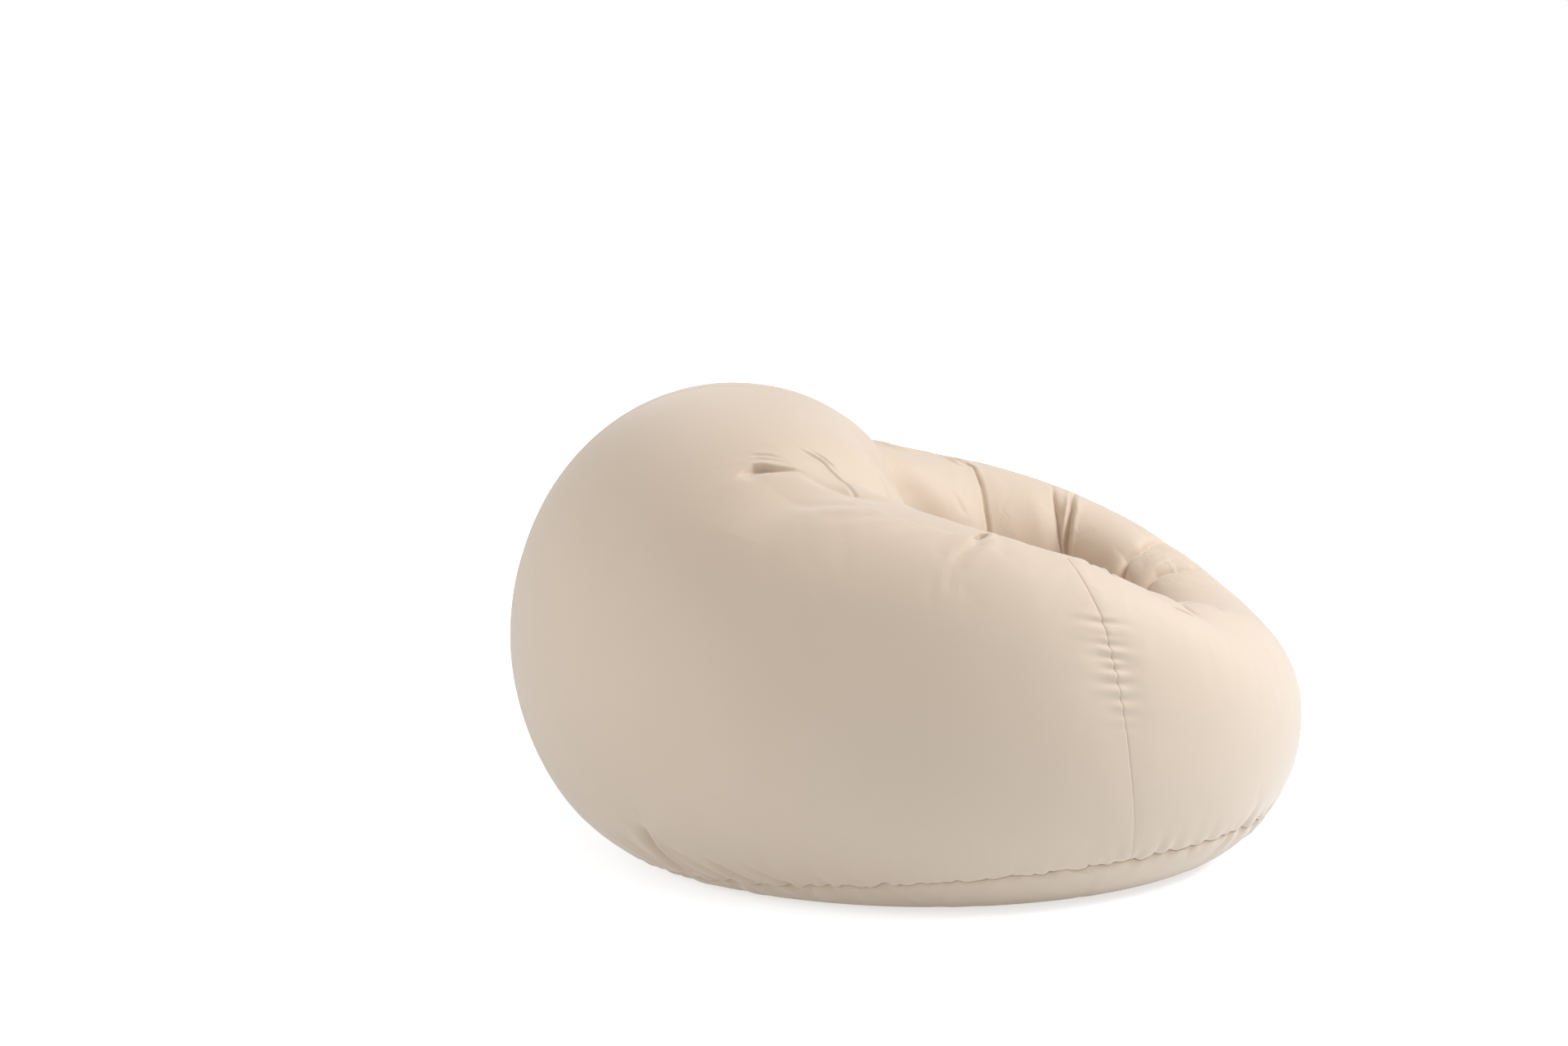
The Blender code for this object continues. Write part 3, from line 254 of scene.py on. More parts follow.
class Shape:
    """Closed bodies of one small piece, collected as triangles that face outwards."""

    def __init__(self) -> None:
        """Start with nothing."""
        self.points: list[Array] = []
        self.faces: list[Array] = []
        self.count = 0

    def add(self, points: Array, faces: Array) -> None:
        """Add a closed body, turned right side out by the sign of its volume."""
        corners = points[faces] - points.mean(axis=0)
        volume = np.einsum("ij,ij->", corners[:, 0], np.cross(corners[:, 1], corners[:, 2]))
        self.points.append(points)
        self.faces.append((faces if volume > 0 else faces[:, ::-1]) + self.count)
        self.count += len(points)

    def rings(self, points: Array, wraps: bool = False) -> None:
        """Add a body of rings of points, closed on itself or by a fan at each end.

        Args:
            points: Rings by points by three.
            wraps: Whether the last ring meets the first.
        """
        rings, columns = points.shape[:2]
        cells = MeshMaker.quads(rings, columns, wraps=True, closes=wraps)
        faces = [cells[:, [0, 1, 2]], cells[:, [0, 2, 3]]]
        flat = points.reshape(-1, 3)
        if not wraps:
            here = np.arange(columns)
            after = np.roll(here, -1)
            last = (rings - 1) * columns
            middle = np.full(columns, rings * columns)
            faces.append(np.stack([after, here, middle], axis=-1))
            faces.append(np.stack([here + last, after + last, middle + 1], axis=-1))
            flat = np.concatenate([flat, points[[0, -1]].mean(axis=1)])
        self.add(flat, np.concatenate(faces))

    def turned(self, profile: Array, steps: int = 72, notch: Array | None = None) -> None:
        """Add a body turned round Z.

        Args:
            profile: Radii and heights. A profile that starts on the axis also ends on it, else it is a loop.
            steps: Steps of the turn.
            notch: How far each step of each profile point is drawn in, or None.
        """
        turn = turns(steps)
        open_ends = profile[0, 0] == 0
        if open_ends:
            profile = profile[1:-1]
        radius = np.broadcast_to(profile[:, :1], (len(profile), steps))
        if notch is not None:
            radius = radius - (notch[1:-1] if open_ends else notch)
        height = np.broadcast_to(profile[:, 1:], radius.shape)
        self.rings(np.stack([radius * np.cos(turn), radius * np.sin(turn), height], axis=-1), not open_ends)

    def plate(self, outline: Array, low: float, high: float, edge: float,
              offset: tuple[float, float] = (0, 0)) -> None:
        """Add a flat plate, its edges broken by a small chamfer.

        Args:
            outline: Points of x and y.
            low: Height of its underside.
            high: Height of its top.
            edge: Size of the chamfer.
            offset: How far the outline is moved in x and y.
        """
        after, before = np.roll(outline, -1, axis=0), np.roll(outline, 1, axis=0)
        along = after - before
        inward = np.stack([-along[:, 1], along[:, 0]], axis=-1)
        inward /= np.linalg.norm(inward, axis=-1, keepdims=True)
        area = np.sum(outline[:, 0] * after[:, 1] - outline[:, 1] * after[:, 0])
        inset = outline + inward * edge * (1 if area > 0 else -1)
        rows = [(inset, low), (outline, low + edge), (outline, high - edge), (inset, high)]
        self.rings(np.stack([
            np.column_stack([ring + np.array(offset), np.full(len(ring), height)]) for ring, height in rows]))

    def sweep(self, path: Array, section: Array, side: Array) -> None:
        """Add a section drawn along a path.

        Args:
            path: Points of the path.
            section: Points across, as shares of the side direction and of the one square to it.
            side: A direction square to the path.
        """
        along = np.gradient(path, axis=0)
        along /= np.linalg.norm(along, axis=-1, keepdims=True)
        first = np.broadcast_to(np.asarray(side, dtype=float), along.shape)
        second = np.cross(along, first)
        second = second / np.linalg.norm(second, axis=-1, keepdims=True)
        first = np.cross(second, along)
        across = first[:, None] * section[None, :, :1]
        up = second[:, None] * section[None, :, 1:]
        self.rings(path[:, None] + across + up)

    @staticmethod
    def circle(radius: float, steps: int) -> Array:
        """A round section."""
        turn = turns(steps)
        return radius * np.stack([np.cos(turn), np.sin(turn)], axis=-1)

    @staticmethod
    def rounded(outline: list[tuple[float, float]], radius: float, steps: int = 4,
                loop: bool = True) -> Array:
        """Round the corners of an outline, each by a curve that leaves and meets its sides.

        Args:
            outline: The corners.
            radius: How far from a corner its curve starts. On a short side it is just under half of it.
            steps: Points of each curve, less one.
            loop: Whether the outline is closed. Else its two ends stay.

        Returns:
            The rounded outline.
        """
        corners = np.array(outline, dtype=float)
        back = np.roll(corners, 1, axis=0) - corners
        ahead = np.roll(corners, -1, axis=0) - corners
        lengths = [np.linalg.norm(side, axis=-1, keepdims=True) for side in (back, ahead)]
        cut = np.minimum(radius, 0.45 * np.minimum(*lengths))
        share = np.linspace(0, 1, steps + 1)[None, :, None]
        start, end = corners + back / lengths[0] * cut, corners + ahead / lengths[1] * cut
        curve = (1 - share) ** 2 * start[:, None] + 2 * share * (1 - share) * corners[:, None]
        curve = curve + share ** 2 * end[:, None]
        if loop:
            return curve.reshape(-1, 2)
        return np.concatenate([corners[:1], curve[1:-1].reshape(-1, 2), corners[-1:]])

    def build(self, name: str, frame: Matrix = Matrix.Identity(4), plane: bool = False) -> Object:
        """Make the piece.

        Args:
            name: The piece's name.
            frame: Where its own frame stands in the chair, by default at the chair's origin.
            plane: Whether to lay flat cloth coordinates over it.

        Returns:
            The object, with its points in the chair's frame.
        """
        turn = np.array(frame)
        points = np.concatenate(self.points) @ turn[:3, :3].T + turn[:3, 3]
        flat = points[:, :2] if plane else None
        piece = MeshMaker.mesh(name, points, np.concatenate(self.faces), flat)
        piece.data.set_sharp_from_angle(angle=SHARP_EDGE)
        return piece


@dataclass(frozen=True)
class Ring:
    """A closed ring round the well: an ellipse in plan, whose height changes from the back to the front.

    The shares are of the height's change, at even angles from the back to the front. The corner is how far
    the back's two corners are drawn out, as a share.
    """

    half_width: float
    back: float
    front: float
    back_height: float = 0.0
    front_height: float = 0.0
    shares: tuple[float, ...] = (1.0, 0.0)
    corner: float = 0.0

    def height(self, angle: Array) -> Array:
        """Height at an angle from the back: an even cosine series through the shares at even stations."""
        orders = np.arange(len(self.shares))
        stations = np.linspace(0, math.pi, len(self.shares))
        series = np.linalg.solve(np.cos(np.outer(stations, orders)), np.asarray(self.shares))
        share = np.cos(np.multiply.outer(angle, orders)) @ series
        return self.front_height + (self.back_height - self.front_height) * share

    def points(self, angle: Array, share: float = 1.0) -> Array:
        """Points on the ring, or on the ring shrunk about its centre by a share."""
        centre = (self.front - self.back) / 2
        reach = (self.front + self.back) / 2 * share
        fill = 1 + self.corner * np.sin(2 * angle) ** 2 * (np.cos(angle) > 0)
        x = -self.half_width * share * np.sin(angle) * fill
        y = reach * np.cos(angle) * fill - centre
        return np.stack([x, y, self.height(angle)], axis=-1)


@dataclass
class Tube:
    """The inflated tube as a surface of line and arc, with its darts but without folds."""

    floor: Ring = Ring(0.39, 0.3875, 0.4425)
    widest: Ring = Ring(0.55, 0.6225, 0.6225, 0.335, 0.215, (1.0, 0.93, 0.79, 0.667, 0.39, 0.125, 0.0))
    crest: Ring = Ring(0.42, 0.2775, 0.4725, 0.73, 0.385, (1.0, 0.884, 0.638, 0.493, 0.348, 0.145, 0.0))
    lip: Ring = Ring(0.25, -0.0275, 0.3775, 0.42, 0.27, (1.0, 0.953, 0.82, 0.633, 0.387, 0.12, 0.0), 0.06)
    foot: Ring = Ring(0.33, 0.3075, 0.3625)
    lift: Ring = Ring(0.29, 0.2275, 0.3325)
    lower_back: float = 1.9
    lower_front: float = 2.00
    inner_share: float = 2.1
    lean: float = math.radians(9.0)
    base_seam_heights: tuple[float, float, float] = (0.006, 0.058, 0.082)
    wander: float = 0.0009
    wander_waves: Triples = ((37, 1.0, 1.0), (61, 0.8, 0.0), (23, 0.6, 0.0))
    seat_height: float = 0.17
    seat_crown: float = 0.028
    probe: float = 0.01

    def angle(self, line: Array, arc: Array) -> Array:
        """Angle round the well of a line, which leans to the front at the floor and back at the crest."""
        lean = np.interp(arc, (0, 1, 2, 3, 4, 5), (1, 0, -1, -1, 0, 1)) * self.lean
        return line + lean * np.sin(line) * np.abs(np.sin(line))

    def plain(self, line: Array, arc: Array) -> Array:
        """The tube without darts: quarter arcs of the superellipse between each ring and the next."""
        arc = np.where(arc < 0, arc + 5, np.where(arc > 5, arc - 5, arc))
        angle = self.angle(line, arc)
        ends = [ring.points(angle) for ring in (self.floor, self.widest, self.crest, self.lip, self.foot)]
        result = np.zeros(angle.shape + (3,))
        for quarter, exponent in enumerate((self.lower(angle), 2.0, self.inner_share, 2.0)):
            start, end = ends[quarter], ends[quarter + 1]
            turn = np.clip(arc - quarter, 0, 1) * math.pi / 2
            rise = np.clip(np.sin(turn), 0, 1) ** (2 / exponent)
            fall = 1 - np.clip(np.cos(turn), 0, 1) ** (2 / exponent)
            across, up = (rise, fall) if quarter % 2 == 0 else (fall, rise)
            share = np.stack([across, across, up], axis=-1)
            inside = (arc >= quarter) & (arc <= quarter + 1)
            result = np.where(inside[..., None], start + (end - start) * share, result)
        flat = ends[4] + (ends[0] - ends[4]) * (arc - 4)[..., None]
        return np.where((arc > 4)[..., None], flat, result)

    def lower(self, angle: Array) -> Array:
        """Exponent of the lower outer quarter, from the front's to the back's by the angle's cosine."""
        return self.lower_front + (self.lower_back - self.lower_front) * (1 + np.cos(angle)) / 2

    def differences(self, line: Array, arc: Array) -> tuple[Array, Array]:
        """Central differences of the plain tube over twice the probe, by line and by arc."""
        along = self.plain(line + self.probe, arc) - self.plain(line - self.probe, arc)
        across = self.plain(line, arc + self.probe) - self.plain(line, arc - self.probe)
        return along, across

    def normals(self, line: Array, arc: Array) -> Array:
        """Outward normals of the plain tube, from its central differences."""
        normal = np.cross(*self.differences(line, arc))
        return normal / np.linalg.norm(normal, axis=-1, keepdims=True)

    def scales(self, line: Array, arc: Array) -> tuple[Array, Array]:
        """Metres for each radian of line and for each unit of arc."""
        along, across = (np.linalg.norm(step, axis=-1) for step in self.differences(line, arc))
        return along / (2 * self.probe), across / (2 * self.probe)

    def base_seam(self, line: Array) -> Array:
        """Arc position of the base seam, which climbs from the floor at the back to the front."""
        back, side, front = self.base_seam_heights
        first = (back - front) / 2
        second = ((back + front) / 2 - side) / 2
        height = (back + front) / 2 - second + first * np.cos(line) + second * np.cos(2 * line)
        for order, share, phase in self.wander_waves:
            height = height + self.wander * share * np.sin(order * line + phase)
        return np.arccos((1 - height / self.widest.height(line)) ** (self.lower(line) / 2)) * 2 / math.pi

    def seat_seam(self, line: Array) -> Array:
        """Arc position of the seat seam, level at the seat's height below the lip."""
        return 3 + np.arcsin(1 - self.seat_height / self.lip.height(line)) * 2 / math.pi


@dataclass(frozen=True)
class Crease:
    """A dart, seam or fold: a valley along a path of places, each given as line in degrees, arc and strength.

    A mirrored crease is on both halves, else it is on the sitter's right for positive lines. The side to the
    right of the path may fall off more gently, by a spread, as where one layer of cloth laps over another.
    The ridges have a place and a width, both in widths of the valley, and the right one a share of height.
    """

    path: Triples
    depth: float
    width: float
    sharp: float = 2.0
    ridge: float = 0.0
    mirrored: bool = True
    spread: float = 1.0
    left_ridge: tuple[float, float] = (1.9, 1.2)
    right_ridge: tuple[float, float] = (2.2, 1.4)
    right_share: float = 0.6
    reach_widths: float = 6

    def push(self, line: Array, arc: Array, per_line: Array, per_arc: Array) -> Array:
        """How far out the crease pushes each point, worked out only for the points within its reach."""
        around = np.abs(line) if self.mirrored else line
        places = np.array(self.path)
        low, high = places[:, :2].min(axis=0), places[:, :2].max(axis=0)
        reach = self.reach_widths * self.width * max(self.spread, 1.0)
        near = around > math.radians(low[0]) - reach / per_line
        near &= around < math.radians(high[0]) + reach / per_line
        near &= (arc > low[1] - reach / per_arc) & (arc < high[1] + reach / per_arc)
        result = np.zeros(line.shape)
        if near.any():
            result[near] = self.depths(around[near], arc[near], per_line[near], per_arc[near])
        return result

    def depths(self, around: Array, arc: Array, per_line: Array, per_arc: Array) -> Array:
        """Push of each point by its distance from the path.

        Distance is measured to the nearest stretch of the path, in metres, with the cloth's own scale at
        the point. The valley falls off as a power of distance over width, and a ridge may rise beside it.

        Args:
            around: Lines of the points, folded onto one half where the crease is mirrored.
            arc: Arcs of the points.
            per_line: Metres for each radian of line.
            per_arc: Metres for each unit of arc.

        Returns:
            Metres along the outward normal.
        """
        places = np.array(self.path)
        places[:, 0] = np.radians(places[:, 0])
        nearest = np.full(around.shape, np.inf)
        strength = np.zeros(around.shape)
        side = np.zeros(around.shape)
        for start, end in zip(places, places[1:]):
            to_x = (end[0] - start[0]) * per_line
            to_y = (end[1] - start[1]) * per_arc
            x = (around - start[0]) * per_line
            y = (arc - start[1]) * per_arc
            share = np.clip((x * to_x + y * to_y) / (to_x ** 2 + to_y ** 2), 0, 1)
            off = np.hypot(x - share * to_x, y - share * to_y)
            closer = off < nearest
            nearest = np.where(closer, off, nearest)
            strength = np.where(closer, start[2] + (end[2] - start[2]) * share, strength)
            side = np.where(closer, np.sign(y * to_x - x * to_y), side)
        off = nearest / (self.width * np.where(side < 0, self.spread, 1.0))
        valley = np.exp(-off ** self.sharp)
        left, right = (bell(off - place, width) for place, width in (self.left_ridge, self.right_ridge))
        rise = np.where(side > 0, left, self.right_share * right)
        return self.depth * strength * (self.ridge * rise - valley)


@dataclass
class Gathers:
    """Small puckers that cross a seam, each at its own place along it and fading away from it.

    Beside each valley is a ridge, by a share of its depth, its place and width in widths of the valley.
    """

    places: Array
    widths: Array
    depths: Array
    above: Array
    below: Array
    tilts: Array
    ridge_share: float = 0.42
    ridge_place: float = 1.8
    ridge_width: float = 1.5

    @classmethod
    def scattered(cls, start: float, end: float, pitch: float, width: float, depth: float,
                  above: float, below: float, draw: np.random.Generator) -> "Gathers":
        """Draw puckers at uneven steps between two places along a seam, in metres.

        Args:
            start: First place.
            end: Last place.
            pitch: Mean step.
            width: Mean half width of a pucker.
            depth: Mean depth.
            above: Mean reach on the side where distance is positive.
            below: Mean reach on the other side.
            draw: The random numbers.

        Returns:
            The puckers.
        """
        step_range, width_range = (0.55, 1.45), (0.7, 1.35)
        depth_range, reach_range = (0.25, 1.3), (0.45, 1.5)
        tilt = 0.28
        count = max(1, int((end - start) / pitch))
        steps = pitch * draw.uniform(*step_range, count)
        places = start + np.cumsum(steps) * (end - start) / steps.sum() - pitch / 2
        return cls(
            places,
            width * draw.uniform(*width_range, count),
            depth * draw.uniform(*depth_range, count),
            above * draw.uniform(*reach_range, count),
            below * draw.uniform(*reach_range, count),
            draw.uniform(-tilt, tilt, count),
        )

    def push(self, along: Array, distance: Array) -> Array:
        """Sum of the puckers: each a narrow valley along its own direction, deepest at the seam."""
        total = np.zeros_like(along)
        for place, width, depth, above, below, tilt in zip(
                self.places, self.widths, self.depths, self.above, self.below, self.tilts):
            reach = np.where(distance > 0, above, below)
            off = along - place - tilt * distance
            spread = width * (1 + np.abs(distance) / (2 * reach))
            fade = bell(distance, reach)
            ridge = bell(off - self.ridge_place * spread, self.ridge_width * spread)
            total -= depth * fade * (bell(off, spread) - self.ridge_share * ridge)
        return total


# chosen on the photograph, each with its depth and width in metres, then sharpness and ridge
CREASES = (
    # saddle where the arm runs into the back, and the corner of the well
    Crease(((58, 1.6, 0), (58, 1.85, 0.9), (58, 2.1, 1), (57, 2.45, 0)), 0.016, 0.055),
    Crease(((47, 1.75, 0), (47.5, 2, 0.18), (47, 2.25, 0.55), (47, 2.6, 1), (46, 3.4, 0.6)), 0.036, 0.045),
    Crease(((48, 2.3, 0), (47.5, 2.5, 0.8), (46.5, 2.8, 1), (46, 3.4, 1)), 0.01, 0.005, 1),
    # the face of the back is a little flatter than the tube's own curve
    Crease(((0, 2.6, 0.8), (15, 2.64, 1), (27, 2.7, 1), (38, 2.8, 0.5)), 0.02, 0.075),
    # the far crest sags a little where the arm leaves the back
    Crease(((-50, 2.02, 0.4), (-58, 2.03, 1), (-68, 2.04, 0)), 0.008, 0.045, mirrored=False),
    # near arm: higher in its middle and lower towards the front than the far one
    Crease(((66, 2.2, 0), (80, 2.2, 1), (98, 2.18, 1), (110, 2.15, 0)), -0.006, 0.05, mirrored=False),
    Crease(((119, 2.12, 0), (128, 2.05, 0.5), (137, 1.93, 0.95), (147, 1.78, 1), (160, 1.66, 0)), 0.022,
        0.08, mirrored=False),
    # pocket at the outer end of the corner dart: the back's cloth laps over the arm's with a lip
    Crease(((47.2, 1.78, 0), (46.5, 1.808, 0.15), (45.9, 1.838, 0.45), (45.3, 1.874, 0.9), (45.9, 1.902, 1),
        (47.1, 1.932, 0.65), (48.3, 1.98, 0.3), (49.5, 2.03, 0)), 0.015, 0.0026, 1.4, 0.1, spread=4.5),
    Crease(((48, 1.8, 0), (47.6, 1.835, 1), (47.2, 1.87, 1), (47.4, 1.9, 0)), 0.0035, 0.012),
    Crease(((42, 1.885, 0), (42.3, 1.915, 1), (43.2, 1.95, 0.9), (45, 1.99, 0)), 0.0016, 0.003, 2, 0.7),
    Crease(((43.6, 1.885, 0), (43.8, 1.91, 0.8), (44.9, 1.95, 0.7), (46.6, 1.99, 0)), 0.0013, 0.0026, 2,
        0.7),
    # the arm's foot against the back, from the pocket to the inner corner
    Crease(((48.9, 1.99, 0), (52.5, 2.03, 0.7), (56, 2.08, 1), (60, 2.14, 1), (62, 2.22, 0.5)), 0.0065,
        0.012, 1.5),
    # two dart seams on the face of the back, the first doubled at its start
    Crease(((40.3, 2.06, 0), (42, 2.1, 0.7), (44, 2.142, 0.8), (48, 2.16, 1), (52.7, 2.166, 1),
        (58.5, 2.135, 0.6)), 0.0046, 0.0027, 1.2, 0.32),
    Crease(((40.2, 2.1, 0), (42.2, 2.152, 1), (44, 2.178, 0.9), (47, 2.185, 0)), 0.003, 0.0024, 1.2, 0.3),
    Crease(((30, 2.4, 0), (32.7, 2.442, 0.9), (36.2, 2.454, 1), (38, 2.484, 1), (41.5, 2.52, 1),
        (45, 2.58, 0.6)), 0.0046, 0.0028, 1.1, 0.25),
    # first seam of the inner wall
    Crease(((96.5, 2.2, 0), (93.8, 2.38, 0.7), (87.4, 2.6, 1), (84.6, 2.75, 1), (81, 3, 1), (79, 3.4, 0.6)),
        0.006, 0.028),
    Crease(((96.2, 2.12, 0), (97.6, 2.22, 0.9), (94, 2.4, 1), (88.4, 2.6, 1), (85, 2.75, 1), (81, 3, 1),
        (79, 3.5, 1)), 0.007, 0.0028, 1, 0.1),
    Crease(((-92.5, 2.1, 0), (-94.6, 2.15, 1), (-96.8, 2.2, 0.6)), 0.0075, 0.005, 2, 0.25, mirrored=False),
    # side seam inside the well and the deep fold beside it
    Crease(((120.5, 2.15, 0), (119.5, 2.4, 1), (118, 2.7, 1), (118, 3.4, 0.6)), 0.009, 0.024),
    Crease(((121.8, 2, 0), (120.5, 2.25, 1), (118.2, 2.65, 1), (119.5, 3.2, 1)), 0.0065, 0.0034, 1),
    Crease(((127.6, 1.99, 0), (127, 2.05, 0.8), (125.6, 2.29, 1), (123.6, 2.45, 1), (120.6, 2.66, 1),
        (120, 2.9, 0)), 0.012, 0.0044, 1.3, 0.3),
    # third and fourth seams, on the front's inner wall
    Crease(((145, 1.7, 0), (146.8, 1.8, 0.5), (150.2, 2.035, 0.9), (149.8, 2.27, 1), (147, 2.43, 1),
        (146, 2.8, 1), (146, 3.4, 0.6)), 0.006, 0.024),
    Crease(((145.5, 3.5, 1), (145.5, 2.8, 1), (146.2, 2.42, 1), (148.9, 2.2, 1), (149.4, 2.03, 1),
        (146.8, 1.79, 0.9), (145.6, 1.7, 0)), 0.012, 0.004, 1.3, spread=1.6),
    Crease(((158.5, 1.9, 0), (160, 2.06, 0.8), (158.8, 2.26, 1), (158, 2.6, 1), (157, 3.4, 0.6)), 0.005,
        0.022),
    Crease(((157, 3.5, 1), (157.4, 2.6, 1), (158, 2.27, 1), (159.9, 2.03, 1), (159.4, 1.87, 0.8),
        (157.8, 1.8, 0)), 0.0105, 0.0038, 1.3, spread=1.6),
    # fine wrinkles beside the fourth seam
    Crease(((153.6, 2.2, 0), (154.6, 2.08, 1), (155.8, 1.94, 0)), 0.002, 0.0034, 2, 0.5),
    Crease(((155.8, 2.24, 0), (156.6, 2.1, 1), (157.6, 1.93, 0)), 0.002, 0.003, 2, 0.5),
    Crease(((151.8, 2.16, 0), (152.6, 2.06, 1), (153.4, 1.94, 0)), 0.0012, 0.003, 2, 0.5),
    # little hole on the near arm where the first seam ends, with its raised rim and the drag below it
    Crease(((96.5, 2.02, 0.5), (96.8, 2.05, 1), (95.9, 2.08, 0.6)), 0.02, 0.005, 2.6, mirrored=False),
    Crease(((98.3, 2, 0.4), (98.6, 2.04, 1), (97.8, 2.09, 0.8), (95.9, 2.125, 0.2)), -0.004, 0.0044, 2,
        mirrored=False),
    Crease(((97.6, 1.99, 0.8), (97.8, 1.92, 1), (96, 1.8, 0.5), (95, 1.73, 0)), 0.004, 0.01, 2, 0.5,
        mirrored=False),
    # short crease on the near arm's front
    Crease(((136.2, 1.735, 0), (138.2, 1.7, 0.8), (140.2, 1.678, 1), (142.6, 1.65, 0.2)), 0.0065, 0.0042,
        1.4, 0.45, False),
    # slack drawn diagonally over the near arm
    Crease(((72, 2.06, 0), (68, 1.97, 1), (63, 1.88, 0.7), (58, 1.82, 0)), 0.0022, 0.013, 2, 0.6, False),
    Crease(((80, 2.07, 0), (76, 1.97, 1), (71, 1.87, 0.7), (66, 1.8, 0)), 0.0022, 0.014, 2, 0.6, False),
    Crease(((87, 2.08, 0), (83, 1.98, 1), (79, 1.88, 0.6), (76, 1.82, 0)), 0.0018, 0.014, 2, 0.6, False),
    # small folds under the crest of the far arm
    Crease(((-66, 2.1, 0), (-68, 2.2, 1), (-69.5, 2.31, 0)), 0.0044, 0.006, 2, 0.7, False),
    Crease(((-70.6, 2.1, 0), (-72.6, 2.19, 1), (-74, 2.28, 0)), 0.0034, 0.0055, 2, 0.7, False),
    Crease(((-73.6, 2.52, 0), (-73.4, 2.6, 1), (-73.2, 2.68, 0.8)), 0.0014, 0.006, 2, 0.5, False),
    Crease(((-89.5, 2.1, 0), (-91, 2.19, 1), (-91.5, 2.28, 0)), 0.0028, 0.0055, 2, 0.7, False),
    # fold at the corner of the back, low on the near side, and the fan of small ones beside it
    Crease(((41.1, 0.545, 0), (40.9, 0.5, 0.6), (40.8, 0.45, 1), (41.6, 0.378, 1), (42.6, 0.32, 0.8),
        (43.4, 0.28, 0)), 0.015, 0.007, 1.4, 0.35, spread=1.6),
    Crease(((27.5, 0.45, 0), (31, 0.39, 1), (35.5, 0.3, 0.7), (38, 0.25, 0)), 0.004, 0.005, 2, 0.6),
    Crease(((30.5, 0.49, 0), (34, 0.42, 1), (38, 0.335, 0.7), (40, 0.29, 0)), 0.0034, 0.0048, 2, 0.6),
    Crease(((44, 0.46, 0), (46.5, 0.4, 1), (50, 0.335, 0.8), (52.5, 0.26, 0)), 0.0046, 0.007, 2, 0.5),
    Crease(((50, 0.45, 0), (52.5, 0.39, 1), (55.5, 0.325, 0.9), (58, 0.24, 0)), 0.0046, 0.007, 2, 0.5),
    Crease(((56.5, 0.45, 0), (59.5, 0.38, 1), (62.5, 0.31, 0.9), (65, 0.22, 0)), 0.0038, 0.007, 2, 0.5),
)


@dataclass(frozen=True)
class Relief:
    """Small moves of the cloth along its normal, on an even table of arcs by lines from the simulation."""

    table: Array
    top: float

    def at(self, line: Array, arc: Array) -> Array:
        """Moves at any places, bilinear between the table's entries, wrapping round the well."""
        rows, columns = self.table.shape
        place = (line + math.pi) / (2 * math.pi) * columns
        climb = np.clip(arc / self.top * (rows - 1), 0, rows - 1.001)
        column, row = np.floor(place).astype(int), np.floor(climb).astype(int)
        across, up = place - column, climb - row
        first, second = column % columns, (column + 1) % columns
        low = self.table[row, first] * (1 - across) + self.table[row, second] * across
        high = self.table[row + 1, first] * (1 - across) + self.table[row + 1, second] * across
        return low * (1 - up) + high * up


